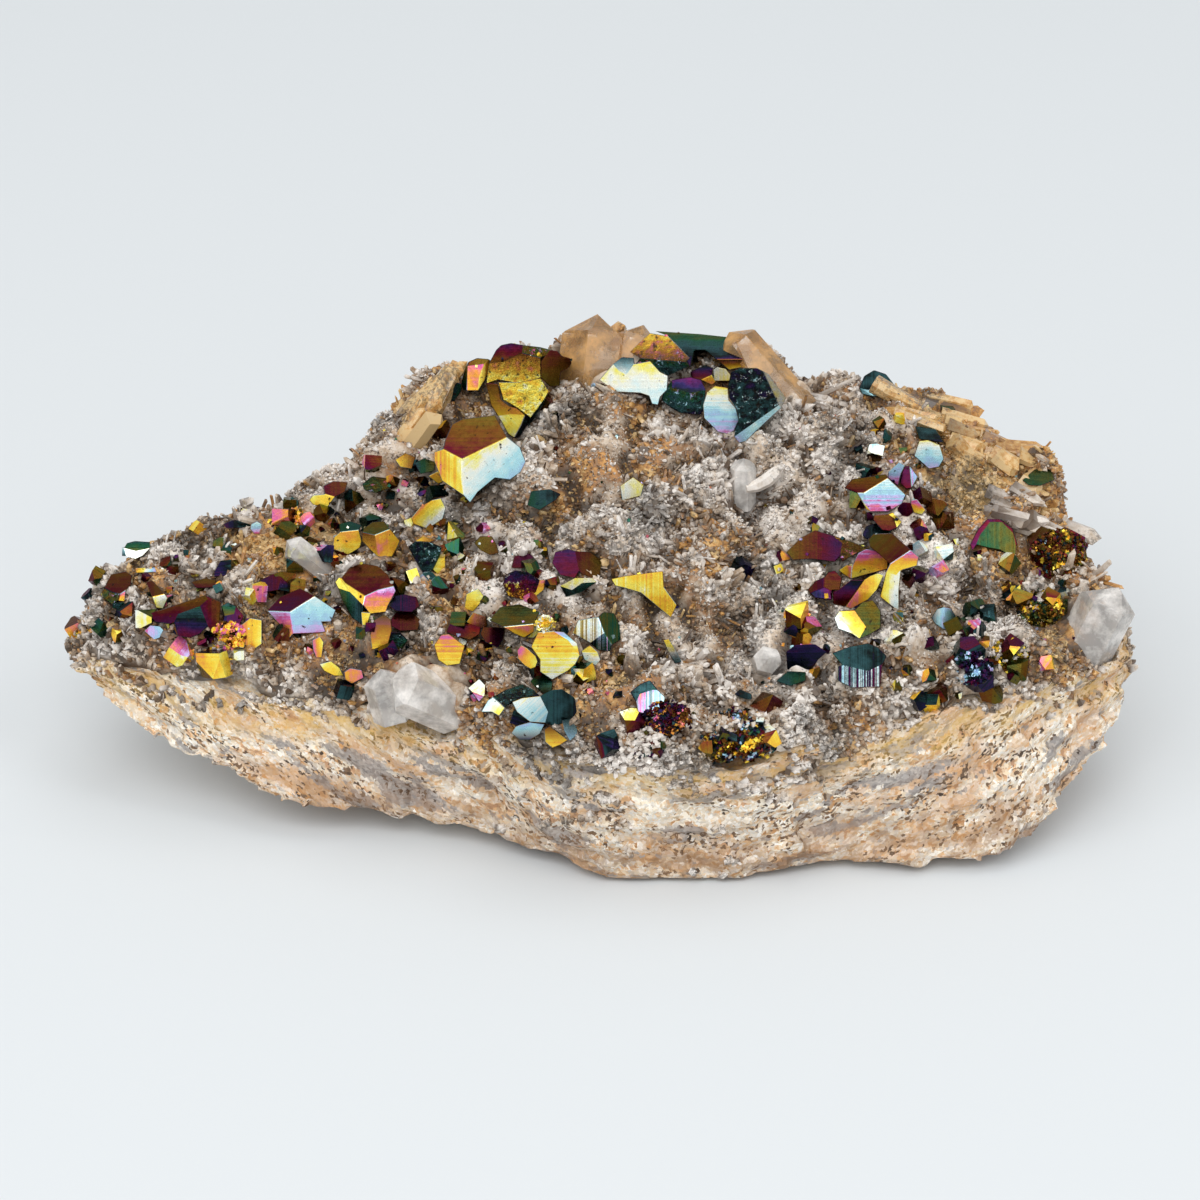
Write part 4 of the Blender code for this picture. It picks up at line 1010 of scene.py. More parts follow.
def make_rock(settings):
    """The broken granite block: remeshed, split along its foliation into ledges, and roughened."""
    piece = merged_copy("granite_block", "granite_broken_block")
    apply_modifier(piece, "REMESH", mode="VOXEL", voxel_size=settings.voxel, adaptivity=0.0)
    mesh = piece.data
    count = len(mesh.vertices)
    places = np.empty(count * 3, np.float32)
    mesh.vertices.foreach_get("co", places)
    places = places.reshape(-1, 3).astype(float) / MM
    normals = np.empty(count * 3, np.float32)
    mesh.vertices.foreach_get("normal", normals)
    normals = normals.reshape(-1, 3)
    folia = foliation_of(places)
    ledge = settings.ledge / MM
    out = np.empty(count)
    # Ledges, chips and grit are noise that is long along the foliation, and facets are tilted cells
    for i, (x, y, s) in enumerate(folia):
        step = noise.noise(Vector((x / 7.0, y / 7.0, s / 1.5)))
        chip = noise.noise(Vector((x / 2.6 + 7, y / 2.6, s / 1.0)))
        grit = noise.noise(Vector((x / 0.9, y / 0.9 + 3, s / 0.8)))
        spot = Vector((x / 3.4, y / 3.4, s / 2.2))
        cell = noise.voronoi(spot)[1][0]
        facet = (spot - cell).dot(noise.cell_vector(cell * 37.0)) * 0.9 + 0.35 * noise.noise(cell * 5.0)
        out[i] = ledge * (0.7 * step + 0.3 * chip + 0.18 * grit + facet - 0.45)
    low, high = CAD_BOX[0] / MM, CAD_BOX[1] / MM
    grounded = np.clip((places[:, 2] - 0.25) / 1.6, 0, 1)
    places += normals * (out * grounded)[:, None]
    places[:, 2] = np.where(grounded > 0, np.maximum(places[:, 2], 0.12), places[:, 2])
    places[:, 0] = np.clip(places[:, 0], low.x - 0.8, high.x + 0.8)
    mesh.vertices.foreach_set("co", (places * MM).astype(np.float32).ravel())
    mesh.update()
    apply_modifier(piece, "SMOOTH", factor=0.5, iterations=2)
    mesh = piece.data
    share = share_out(places[:, 0], places[:, 1])
    angle = np.arctan2(places[:, 1] - AXIS.y, places[:, 0] - AXIS.x)
    rim_height = np.interp(
        angle, *zip(*sorted((math.atan2(p.y - AXIS.y, p.x - AXIS.x), p.z) for p in RIM_POINTS))
    )
    below = rim_height - places[:, 2]
    seam = np.clip(1 - np.abs(below - 2.0) / 3.4, 0, 1) * (share > 0.8)
    under = np.clip((9.0 - places[:, 2]) / 6.0, 0, 1) * 0.85
    for key, values in (("foliation", folia), ("seam", seam), ("under", under)):
        write_attribute(mesh, key, values)
    apply_shade(piece, 35)
    return piece


def apply_shade(piece, degrees):
    """Smooth shading that keeps edges sharper than this angle."""
    choose(piece)
    bpy.ops.object.shade_smooth_by_angle(angle=math.radians(degrees))


# Druse


# What the druse's ground leaves for the rest: its heights, a search tree and where the stains lie
BED_STATE = {}


def stain_at(x, y, z):
    """How stained the druse is at points, from about 0, clean, to 1."""
    made = np.array(
        [
            0.33
            + 0.62 * noise.noise(Vector((a / 8.0, b / 8.0, c / 8.0)))
            + 0.4 * noise.noise(Vector((a / 2.6 + 9, b / 2.6, c / 2.6)))
            for a, b, c in zip(x, y, z)
        ]
    )
    for (px, py), spread, amount in STAINS:
        centre = BED_STATE["places"][(px, py)]
        distance = (x - centre.x) ** 2 + (y - centre.y) ** 2
        made += amount * np.exp(-distance / (2 * spread**2))
    return made


def stand_on(tree, px, py):
    """Where a pixel's sight line meets the ground, and the ground's normal there.

    A pixel above the skyline is taken down until it meets the stone.
    """
    while py < PICTURE:
        hit = tree.ray_cast(EYE, sight_ray(px, py))
        if hit[0] is not None:
            return hit[0], hit[1]
        py += 2
    raise ValueError("the sight line misses the stone")


# How far the druse's ground dips at the rim, in mm
LIP_DROP = 3.2


def lip_drop(share):
    """How far the druse dips at its edge, where it meets the stone."""
    return LIP_DROP * np.clip((share - 0.93) / 0.055, 0, 1) ** 2


def make_bed():
    """The druse's ground: a lumpy sheet from the axis to the rim, closed underneath."""
    bed = Bed()
    columns, rings = 480, 92
    shares = np.linspace(0, 0.985, rings + 1)[1:]
    levels = [(share, lip_drop(share)) for share in shares]
    levels += [(0.975, LIP_DROP + 0.6), (0.8, LIP_DROP + 1.0), (0.4, LIP_DROP + 1.0)]
    angles = np.linspace(-math.pi, math.pi, columns, endpoint=False)
    reach = np.interp(angles, RIM_ANGLES, RIM_REACH)
    verts = [[AXIS.x, AXIS.y, float(bed.at(AXIS.x, AXIS.y))]]
    for share, drop in levels:
        x = AXIS.x + np.cos(angles) * reach * share
        y = AXIS.y + np.sin(angles) * reach * share
        verts += np.stack([x, y, bed.at(x, y) - drop], -1).tolist()
    verts.append([AXIS.x, AXIS.y, float(bed.at(AXIS.x, AXIS.y)) - LIP_DROP - 1.5])
    loops, totals = [], []
    following = (np.arange(columns) + 1) % columns
    here = np.arange(columns)
    starts = [1 + i * columns for i in range(len(levels))]
    first, last = starts[0], starts[-1]
    loops += np.stack([np.zeros(columns, int), first + here, first + following], -1).ravel().tolist()
    totals += [3] * columns
    for a, b in zip(starts, starts[1:]):
        loops += np.stack([a + here, b + here, b + following, a + following], -1).ravel().tolist()
        totals += [4] * columns
    loops += np.stack([np.full(columns, len(verts) - 1), last + following, last + here], -1).ravel().tolist()
    totals += [3] * columns
    verts = np.array(verts)
    BED_STATE["bed"] = bed
    piece = mesh_object("druse_ground", verts, (loops, totals))
    BED_STATE["tree"] = tree_of([piece, bpy.data.objects["granite_broken_block"]])
    BED_STATE["places"] = {row[0]: stand_on(BED_STATE["tree"], *row[0])[0] for row in STAINS}
    stain = stain_at(*verts.T)
    pit = bed.cavity_at(verts[:, 0], verts[:, 1])
    # Painted shade: the ground between the points is darkened by the root value, most in the pits of the
    # druse and least on its humps.
    for key, values in (("stain", stain + 0.1), ("root", np.clip(0.45 + 0.5 * pit, 0, 1))):
        write_attribute(piece.data, key, values)
    return piece


def point_faces(ring):
    """The corner numbers of a point's faces, and how many each has, for a prism of this many sides."""
    loops = list(range(ring - 1, -1, -1))
    for i in range(ring):
        loops += [i, (i + 1) % ring, ring + (i + 1) % ring, ring + i]
    for i in range(ring):
        loops += [ring + i, ring + (i + 1) % ring, 2 * ring]
    return np.array(loops), np.array([ring] + [4] * ring + [3] * ring)


def points_mesh(name, ring, base, lean, length, radius, stain, pit, chance):
    """Quartz points in one mesh: prisms of three, four or six sides with slanting tips."""
    count = len(base)
    helper = np.where(np.abs(lean[:, 2:3]) < 0.9, [[0.0, 0.0, 1.0]], [[1.0, 0.0, 0.0]])
    side = np.cross(helper, lean)
    side /= np.linalg.norm(side, axis=1, keepdims=True)
    other = np.cross(lean, side)
    turn = chance.uniform(0, math.tau, (count, 1)) + np.arange(ring) * math.tau / ring
    turn = turn + chance.uniform(-0.2, 0.2, (count, ring))
    squeeze = chance.uniform(0.5, 1.0, (count, 1))
    around = np.cos(turn)[..., None] * side[:, None]
    around = around + np.sin(turn)[..., None] * squeeze[..., None] * other[:, None]
    around = around * radius[:, None, None]
    tip_length = np.minimum(radius * chance.uniform(0.35, 1.2, count), 0.5 * length)
    uneven = chance.uniform(-0.45, 0.45, (count, ring)) * tip_length[:, None]
    shoulder = (length - tip_length)[:, None] + uneven
    low = base[:, None] + around * chance.uniform(0.85, 1.15, (count, 1, 1))
    high = base[:, None] + around * chance.uniform(0.75, 1.0, (count, 1, 1))
    high = high + shoulder[..., None] * lean[:, None]
    off = around[:, 0] * chance.uniform(-0.6, 0.6, (count, 1))
    tip = base + length[:, None] * lean + off
    verts = np.concatenate([low, high, tip[:, None]], 1).reshape(-1, 3)
    face_loops, face_totals = point_faces(ring)
    loops = (face_loops[None] + (np.arange(count) * (2 * ring + 1))[:, None]).ravel()
    totals = np.tile(face_totals, count)
    # Painted shade: darker from tip to base and in the pits of the druse. About one point in fourteen is a
    # dark grain all over, and heavily stained points are darkened less.
    root_shade_and_specks = np.array([0.9] * ring + [0.12] * ring + [0.0])[None] + 0.75 * np.clip(pit, 0, 1)[:, None]
    root_shade_and_specks = root_shade_and_specks + 0.8 * (chance.random((count, 1)) < 0.07)
    root_shade_and_specks = root_shade_and_specks * (1 - 0.75 * np.clip(2 * stain - 1.2, 0, 1))[:, None]
    stains = np.repeat(stain, 2 * ring + 1)
    return mesh_object(name, verts, (loops, totals), {"root": root_shade_and_specks.ravel(), "stain": stains})


# The bent white crystal at the middle: pixels along it, and its radius in mm at each
BENT = [((745, 489), 0.5), ((756, 486), 0.75), ((767, 480), 0.85), ((775, 473), 0.75), ((781, 466), 0.4)]


def make_bent_crystal():
    """A white, bent quartz crystal that lies on the druse: a tube of seven sides."""
    tree = BED_STATE["tree"]
    sides = 7
    spots = [stand_on(tree, *pixel)[0] + TOWARD * 1.2 for pixel, _ in BENT]
    verts = []
    for i, (spot, (_, radius)) in enumerate(zip(spots, BENT)):
        along = (spots[min(i + 1, len(spots) - 1)] - spots[max(i - 1, 0)]).normalized()
        side = along.cross(TOWARD).normalized()
        for turn in range(sides):
            angle = math.tau * turn / sides
            verts.append(spot + (side * math.cos(angle) + along.cross(side) * math.sin(angle)) * radius)
    loops, totals = list(range(sides))[::-1], [sides]
    for ring in range(len(BENT) - 1):
        for i in range(sides):
            a, b = ring * sides + i, ring * sides + (i + 1) % sides
            loops += [a, b, b + sides, a + sides]
            totals.append(4)
    loops += [(len(BENT) - 1) * sides + i for i in range(sides)]
    totals.append(sides)
    ends = {"root": np.zeros(len(verts)), "stain": np.full(len(verts), 0.05)}
    return mesh_object("quartz_bent_white", [list(v) for v in verts], (loops, totals), ends)


def toward_all_round(normals, spread, chance):
    """Directions spread round normals: spread 0 is along them, 1 reaches nearly flat."""
    wild = chance.normal(size=normals.shape)
    wild /= np.linalg.norm(wild, axis=1, keepdims=True)
    made = normals + wild * spread[:, None]
    made /= np.linalg.norm(made, axis=1, keepdims=True)
    outward = (made * normals).sum(1)
    return made + normals * np.where(outward < 0.05, 0.15 - outward, 0.0)[:, None]


# Shifts that give one noise three unlike patterns: noise_vector is no use, as each run of Blender
# gives it other values
PATTERNS = [Vector((4.3, 9.1, 5.45)), Vector((31.7, 11.3, 27.6)), Vector((-17.1, 43.3, -13.4))]


def coherent(points, wavelength, seed):
    """Smoothly changing random directions at points, the same in each run."""
    shifts = [pattern + Vector((seed, 0, 0)) for pattern in PATTERNS]
    return np.array(
        [[noise.noise(Vector(point) / wavelength + shift) for shift in shifts] for point in points]
    )


# Kinds of druse points: how many, sides, lengths and radii in mm, how wildly they lean, how far out
POINT_KINDS = [
    (2600, 6, (1.1, 3.2), (0.1, 0.34), 1.0, 0.955),
    (11500, 6, (0.5, 1.5), (0.18, 0.55), 1.8, 0.97),
    (54000, 3, (0.25, 0.7), (0.1, 0.27), 2.4, 0.985),
]
# The plan that they are drawn over, in mm
DRUSE_X = (-71, 53)
DRUSE_Y = (-23, 46)
# How many stand along the lip, where the crust meets the rock
LIP_POINTS = 9000
# How much of a point's length is sunk in the ground
SUNK = 0.35

# Rows of large stained prisms that lie on the druse: two ends in pixels, spread, how many, stain
SLABS = [
    ((885, 396), (1034, 474), 16, 50, 0.96), ((905, 392), (1030, 440), 10, 24, 0.86),
    ((985, 500), (1056, 530), 16, 22, 0.2), ((402, 436), (448, 384), 12, 26, 0.98),
    ((566, 354), (612, 338), 10, 16, 0.9), ((790, 392), (835, 404), 6, 8, 0.15),
]


def kind_points(share_made, chance, kind):
    """The druse points of one kind: spot, lean, length and radius."""
    count, ring, length, radius, wild, limit = kind
    bed = BED_STATE["bed"]
    count = round(count * share_made)
    made = np.empty((0, 2))
    while len(made) < count:
        x = chance.uniform(*DRUSE_X, count)
        y = chance.uniform(*DRUSE_Y, count)
        keep = share_out(x, y) < limit
        made = np.concatenate([made, np.stack([x[keep], y[keep]], -1)])
    made = made[:count]
    solid = np.concatenate([made, np.zeros((count, 1))], 1)
    drift = coherent(solid, 2.6, 3.0)
    size = np.clip(1.0 + 0.9 * coherent(solid, 5.0, 11.0)[:, 0], 0.6, 1.5)
    made = made + drift[:, :2] * 0.5
    if ring == 6:
        crowded = coherent(solid, 6.0, 20.0)[:, 0] > chance.uniform(-0.45, 0.25, count)
        made, drift, size = made[crowded], drift[crowded], size[crowded]
    far_out = share_out(made[:, 0], made[:, 1])
    height = bed.at(made[:, 0], made[:, 1]) - lip_drop(far_out)
    spot = np.stack([made[:, 0], made[:, 1], height], -1)
    around = bed.normal(made[:, 0], made[:, 1]) + 1.1 * drift
    lean = toward_all_round(around, np.full(len(made), wild * 0.75), chance)
    sizes = [size * chance.uniform(*span, len(made)) for span in (length, radius)]
    return [item[far_out < 1] for item in (spot, lean, *sizes)]


def lip_points(share_made, chance):
    """The points along the lip: spot, lean, length and radius."""
    count = round(LIP_POINTS * share_made)
    spots, leans = [], []
    for angle, share in zip(chance.uniform(-math.pi, math.pi, count), chance.uniform(0.925, 1.008, count)):
        way = Vector((math.cos(angle), math.sin(angle)))
        reach = float(np.interp(angle, RIM_ANGLES, RIM_REACH)) * share
        hit = BED_STATE["tree"].ray_cast(Vector((*(AXIS + way * reach), ABOVE)), DOWN)
        if hit[0] is not None:
            spots.append(list(hit[0]))
            leans.append((way.x * 0.7, way.y * 0.7, 0.6))
    lean = toward_all_round(np.array(leans), np.full(len(leans), 1.1), chance)
    sizes = [chance.uniform(*span, len(spots)) for span in ((0.5, 1.4), (0.2, 0.55))]
    return [np.array(spots), lean, *sizes]


def slab_points(chance):
    """The large stained prisms in rows: spot, lean, length, radius and stain."""
    rows = []
    for start, end, spread, count, amount in SLABS:
        start, end = Vector(start), Vector(end)
        along = (end - start).normalized()
        for _ in range(count):
            pixel = start.lerp(end, chance.random()) + Vector(chance.normal(0, 0.6, 2)) * spread
            place, normal = stand_on(BED_STATE["tree"], *pixel)
            lean = RIGHT * along.x - UP * along.y + normal * 0.12 + Vector(chance.normal(0, 0.16, 3))
            rows.append(
                (*place, *lean.normalized(), chance.uniform(2.4, 6.8), chance.uniform(0.4, 1.5),
                 amount + chance.normal(0, 0.05))
            )
    rows = np.array(rows)
    return [rows[:, :3], rows[:, 3:6], rows[:, 6], rows[:, 7], rows[:, 8]]


def clear_of_crystals(spot, lean, length, radius, *more):
    """The points that no crystal covers: base, lean, length, radius, spot and what else they have."""
    lean = lean / np.linalg.norm(lean, axis=1, keepdims=True)
    base = spot - lean * (SUNK * length)[:, None]
    tip = base + lean * length[:, None]
    hidden = within_faces(*pixels_of(tip)) | within_faces(*pixels_of((base + 2 * tip) / 3))
    hidden |= BED_STATE["bed"].within_quartz(spot[:, 0], spot[:, 1])
    return [item[~hidden] for item in (base, lean, length, radius, spot, *more)]


def make_points(settings):
    """The druse's quartz points: blades, blocky prisms, sugary grains, the lip's, and rows of slabs."""
    chance = np.random.default_rng(7)
    kinds = [(kind[1], kind_points(settings.points, chance, kind)) for kind in POINT_KINDS]
    kinds.append((4, lip_points(settings.points, chance)))
    slabs = slab_points(chance)
    pieces = []
    for ring, points in kinds:
        base, lean, length, radius, spot = clear_of_crystals(*points)
        inner = np.clip((0.97 - share_out(spot[:, 0], spot[:, 1])) / 0.04, 0, 1)
        pit = BED_STATE["bed"].cavity_at(spot[:, 0], spot[:, 1]) * inner
        # The pit term browns the points in the hollows of the druse and whitens them on its humps: painted
        # shade and painted light over the iron stain.
        stain = stain_at(*base.T) + chance.normal(0, 0.2, len(base)) + 0.32 * pit - 0.1 * (1 - inner)
        # Split by place, so that no mesh grows too large
        order = np.argsort(base[:, 0])
        for part in np.array_split(order, 1 + len(order) // settings.points_in_mesh):
            pieces.append(
                points_mesh(
                    f"druse_points_{len(pieces) + 1}", ring, base[part], lean[part], length[part],
                    radius[part], stain[part], pit[part], chance,
                )
            )
    base, lean, length, radius, _, stain = clear_of_crystals(*slabs)
    flat = np.zeros(len(base))
    pieces.append(points_mesh("druse_slabs", 6, base, lean, length, radius, stain, flat, chance))
    return pieces


# Pyrite


# How far a face's normal has to turn up, to a side or to the front for that tone
LIES_FLAT = 0.8
TURNS_SIDEWAYS = 0.5
TURNS_FORWARD = 0.35
TURNS_UP = 0.3


def tone_of(normal, tones):
    """The tone of a face that looks this way, from those of top, front, left and right: its tarnish colour
    and its painted brightness, a painted reflection that is dark or bright by which way the face looks.
    """
    top, front, left, right = tones.split()
    if normal.z > LIES_FLAT:
        return top
    if normal.x < -TURNS_SIDEWAYS:
        return left
    if normal.x > TURNS_SIDEWAYS:
        return right
    if normal.y < -TURNS_FORWARD:
        return front
    return top if normal.z > TURNS_UP else right


def paint_tarnish(piece, crystals, jitter):
    """Gives each face its film and its painted brightness, from the tones of the nearest crystal, and lines
    for striations: the brightness is a painted reflection.
    """
    mesh = piece.data
    loops = len(mesh.loops)
    film, bright, stripe = np.zeros(loops), np.zeros(loops), np.zeros(loops)
    chance = random.Random(piece.name)
    seen = {}
    for face in mesh.polygons:
        centre = face.center / MM
        here = Vector(pixel_of(centre))
        tones = min(crystals, key=lambda row: (Vector(row[0]) - here).length)[1]
        normal = face.normal
        run, shine = TONES[tone_of(normal, tones)]
        key = (round(normal.x, 1), round(normal.y, 1), round(normal.z, 1))
        if key not in seen:
            offset = chance.uniform(-jitter, jitter)
            draws = [chance.uniform(-1, 1) for _ in range(4)]
            seen[key] = (offset, Vector(draws[1:]).normalized())
        offset, slope = seen[key]
        corners = [mesh.vertices[i].co / MM for i in face.vertices]
        edges = [b - a for a, b in zip(corners, corners[1:] + corners[:1])]
        longest = max(edges, key=lambda edge: edge.length)
        across = normal.cross(longest.normalized()) if longest.length else slope
        size = max((corner - centre).length for corner in corners) or 1.0
        for loop, corner in zip(face.loop_indices, corners):
            lift = (corner - centre).dot(slope) / max(size, 0.6)
            film[loop] = run + offset + 0.11 * lift
            bright[loop] = shine
            stripe[loop] = corner.dot(across)
    lines, grain = np.full(loops, 0.6), np.zeros(loops)
    for key, values in zip(FILM_KEYS, (film, bright, stripe, lines, grain)):
        write_attribute(mesh, key, values, "CORNER")


def pixels_of(points):
    """The pixels at which an array of points is seen."""
    away = np.asarray(points, float) - np.array(EYE)
    scale = VIEW_DISTANCE / -(away @ np.array(TOWARD)) / MM_PER_PX
    return PICTURE / 2 + away @ np.array(RIGHT) * scale, PICTURE / 2 - away @ np.array(UP) * scale


def place_at(px, py, toward):
    """The point of a pixel's sight line that is this far toward the eye from the target."""
    across = (px - PICTURE / 2) * MM_PER_PX
    upward = (PICTURE / 2 - py) * MM_PER_PX
    return EYE + (RIGHT * across + UP * upward - TOWARD * VIEW_DISTANCE) * (1 - toward / VIEW_DISTANCE)


def depth_at(tree, px, py):
    """How far toward the eye a surface is at a pixel, or nothing where the sight line misses it."""
    hit = tree.ray_cast(EYE, sight_ray(px, py))[0]
    return None if hit is None else (hit - VIEW_TARGET).dot(TOWARD)


def read_net(rows):
    """A crystal's corner pixels, and its faces: leaning, tones and corner numbers."""
    corners, faces = [], []
    for row in rows:
        kind, tones, *places = row.split()
        ring = []
        for place in places:
            here = Vector([float(part) for part in place.split(",")])
            near = [i for i, corner in enumerate(corners) if (corner - here).length < SNAP]
            if not near:
                corners.append(here)
                near = [len(corners) - 1]
            if near[0] not in ring:
                ring.append(near[0])
        faces.append((kind, tones, ring))
    for _, _, ring in faces:
        step = 0
        while step < len(ring):
            start, end = corners[ring[step]], corners[ring[(step + 1) % len(ring)]]
            span = end - start
            on_edge = [
                i for i, corner in enumerate(corners)
                if i not in ring and 0.02 < (corner - start).dot(span) / span.length_squared < 0.98
                and abs(span.cross(corner - start)) < SNAP * span.length
            ]
            if on_edge:
                ring.insert(step + 1, min(on_edge, key=lambda i: (corners[i] - start).length))
            step += 1
        area = sum(corners[a].cross(corners[b]) for a, b in zip(ring, ring[1:] + ring[:1]))
        if area > 0:
            ring.reverse()
    return corners, faces


def depths_of(corners, faces):
    """How far toward the eye each corner is, so that faces are flat and lean as their kinds say."""
    count = len(corners)
    flat = np.array([[(c.x - PICTURE / 2) * MM_PER_PX, (PICTURE / 2 - c.y) * MM_PER_PX] for c in corners])
    rows, wanted = [], []
    for number, (kind, _, ring) in enumerate(faces):
        first = count + 3 * number
        for i in ring:
            row = np.zeros(count + 3 * len(faces))
            row[i], row[first : first + 3] = 12.0, (-12.0 * flat[i, 0], -12.0 * flat[i, 1], -12.0)
            rows.append(row)
            wanted.append(0.0)
        size = max(0.4, np.ptp(flat[ring], axis=0).mean() / 2)
        for axis in (0, 1):
            row = np.zeros(count + 3 * len(faces))
            row[first + axis] = size
            rows.append(row)
            wanted.append(size * LEANINGS[kind][axis])
    row = np.zeros(count + 3 * len(faces))
    row[:count] = 0.01
    rows.append(row)
    wanted.append(0.0)
    return np.linalg.lstsq(np.array(rows), np.array(wanted), rcond=None)[0][:count]


def read_tones(words):
    """From words such as "gold>blue:dr*": film and brightness at start and end, way, lines, grain."""
    stars, grainy = words.count("*"), words.count("#")
    names, way = words.rstrip("*#").split(":")
    ends = []
    for name in names.split(">"):
        run, bright = TONES[name.rstrip("+")]
        ends.append((run + name.count("+"), bright))
    return ends, Vector(WAYS[way]), stars, grainy


# Tones of the walls behind the faces that are seen, two of them for each crystal
WALLS = ("olive", "bronze", "burgundy", "black", "khaki", "teal")
# Rings of the walls: how much of the outline's width is left, and how much of the depth is reached
WALL_RINGS = ((0.93, 0.45), (0.62, 1.0))
# The least and the most that a crystal's faces stand out of the druse beyond need, in mm
CLEARANCE = 0.15
MOST_LIFT = 1.0
# How strong the growth lines are on a face with no star, one or two
LINE_STRENGTHS = (0.35, 1.0, 2.0)


def add_crystal(bm, layers, rows, ground, body, chance):
    """Adds one crystal to a bmesh: its seen faces, and walls that go back into the druse."""
    corners, faces = read_net(rows)
    depths = depths_of(corners, faces)
    floor = [depth_at(ground, corner.x, corner.y) for corner in corners]
    known = [depth for depth in floor if depth is not None]
    if not known:
        raise ValueError(f"a crystal stands off the stone: {rows[0]}")
    floor = [min(known) if depth is None else depth for depth in floor]
    clear = max(low - depth for low, depth in zip(floor, depths)) + CLEARANCE
    node = [depth_at(body, corner.x, corner.y) for corner in corners] if body else []
    shifts = [deep - depth for deep, depth in zip(node, depths) if deep is not None]
    if shifts:
        clear = min(max(clear, float(np.median(shifts))), clear + MOST_LIFT)
    centre = sum(corners, Vector((0, 0))) / len(corners)
    reach = max((corner - centre).length for corner in corners) * MM_PER_PX
    front = [bm.verts.new(place_at(c.x, c.y, d + clear)) for c, d in zip(corners, depths)]
    edges = set()
    for _, tones, ring in faces:
        (start, end), way, stars, grainy = read_tones(tones)
        along = [corners[i].dot(way) for i in ring]
        low, high = min(along), max(along)
        face = bm.faces.new([front[i] for i in ring])
        shift = chance.uniform(-0.02, 0.02)
        for loop, i, place in zip(face.loops, ring, along):
            share = (place - low) / (high - low)
            loop[layers["film"]] = start[0] + (end[0] - start[0]) * share + shift
            # Painted reflection: the face's painted brightness runs from the start tone to the end tone
            # across it.
            loop[layers["bright"]] = start[1] + (end[1] - start[1]) * share
            loop[layers["stripe"]] = corners[i].dot(way) * MM_PER_PX
            loop[layers["lines"]] = LINE_STRENGTHS[stars]
            loop[layers["grain"]] = grainy
        edges |= {(a, b) for a, b in zip(ring, ring[1:] + ring[:1])}
    rim = sorted((a, b) for a, b in edges if (b, a) not in edges)
    outer = sorted({a for edge in rim for a in edge})
    behind = []
    for shrink, deep in WALL_RINGS:
        made = {}
        for i in outer:
            near = depths[i] + clear
            far = max(min(near, floor[i]) - 0.4 - 0.45 * reach, near - 1.0 - 1.4 * reach)
            inner = centre + (corners[i] - centre) * shrink
            made[i] = bm.verts.new(place_at(inner.x, inner.y, near + (far - near) * deep))
        behind.append(made)
    middle, back = behind
    deepest = min(depths[i] + clear for i in outer) - 1.0 - 1.8 * reach
    tip = bm.verts.new(place_at(centre.x, centre.y, max(min(floor) - 0.6 - 0.5 * reach, deepest)))
    # The walls keep a painted brightness of 0: they are painted dark, a painted reflection of dark
    # surroundings.
    wall_tones = chance.sample(WALLS, 2)
    for a, b in rim:
        start, _ = TONES[chance.choice(wall_tones)]
        walls = (
            (front[b], front[a], middle[a], middle[b]), (middle[b], middle[a], back[a], back[b]),
            (back[b], back[a], tip),
        )
        for ring in walls:
            face = bm.faces.new(ring)
            for loop in face.loops:
                loop[layers["film"]] = start + 0.12 * (loop.vert in front)
                loop[layers["stripe"]] = loop.vert.co.z
                loop[layers["lines"]] = 0.5


def make_nets(settings):
    """The pyrite crystals of each node, from the faces seen: pairs of a piece and its node."""
    ground = BED_STATE["tree"]
    low, high = CAD_BOX[0] / MM, CAD_BOX[1] / MM
    pieces = []
    for node, crystals in FACETS.items():
        owner = frame["nodes"].get(node)
        body = tree_of([owner]) if owner else None
        bm = bmesh.new()
        layers = {key: bm.loops.layers.float.new(key) for key in FILM_KEYS}
        chance = random.Random(node)
        for rows in crystals:
            add_crystal(bm, layers, rows, ground, body, chance)
        bmesh.ops.recalc_face_normals(bm, faces=bm.faces[:])
        loose = [edge for edge in bm.edges if not edge.is_manifold]
        if loose:
            raise ValueError(f"{node}: a crystal is not closed at {pixel_of(loose[0].verts[0].co)}")
        for vert in bm.verts:
            vert.co = [min(max(c, a), b) for c, a, b in zip(vert.co, low, high)]
        bm.transform(Matrix.Scale(MM, 4))
        piece = object_from(bm, f"{node}_crystal")
        apply_modifier(
            piece, "BEVEL", width=settings.edge, segments=1, limit_method="ANGLE",
            angle_limit=math.radians(20), use_clamp_overlap=True,
        )
        pieces.append((piece, [node] if owner else []))
    return pieces


def within_faces(px, py):
    """Which pixels lie within a crystal's faces."""
    made = np.zeros(len(px), bool)
    for crystals in FACETS.values():
        for rows in crystals:
            corners, faces = read_net(rows)
            for _, _, ring in faces:
                x = np.array([corners[i].x for i in ring])
                y = np.array([corners[i].y for i in ring])
                near = np.nonzero((px > x.min()) & (px < x.max()) & (py > y.min()) & (py < y.max()))[0]
                odd = np.zeros(len(near), bool)
                for i in range(len(ring)):
                    x0, y0, x1, y1 = x[i - 1], y[i - 1], x[i], y[i]
                    if y0 != y1:
                        level = (y0 > py[near]) != (y1 > py[near])
                        odd ^= level & (px[near] < x0 + (py[near] - y0) * (x1 - x0) / (y1 - y0))
                made[near[odd]] = True
    return made


def make_pyrites(settings):
    """The pyrite nodes that keep the solid's faces, with bevelled edges and tarnish."""
    pieces = []
    for node, crystals in TARNISH.items():
        piece = merged_copy(node, f"{node}_crystal")
        apply_modifier(
            piece, "BEVEL", width=settings.edge, segments=1, limit_method="ANGLE",
            angle_limit=math.radians(25),
        )
        paint_tarnish(piece, crystals, 0.05)
        pieces.append((piece, node))
    return pieces


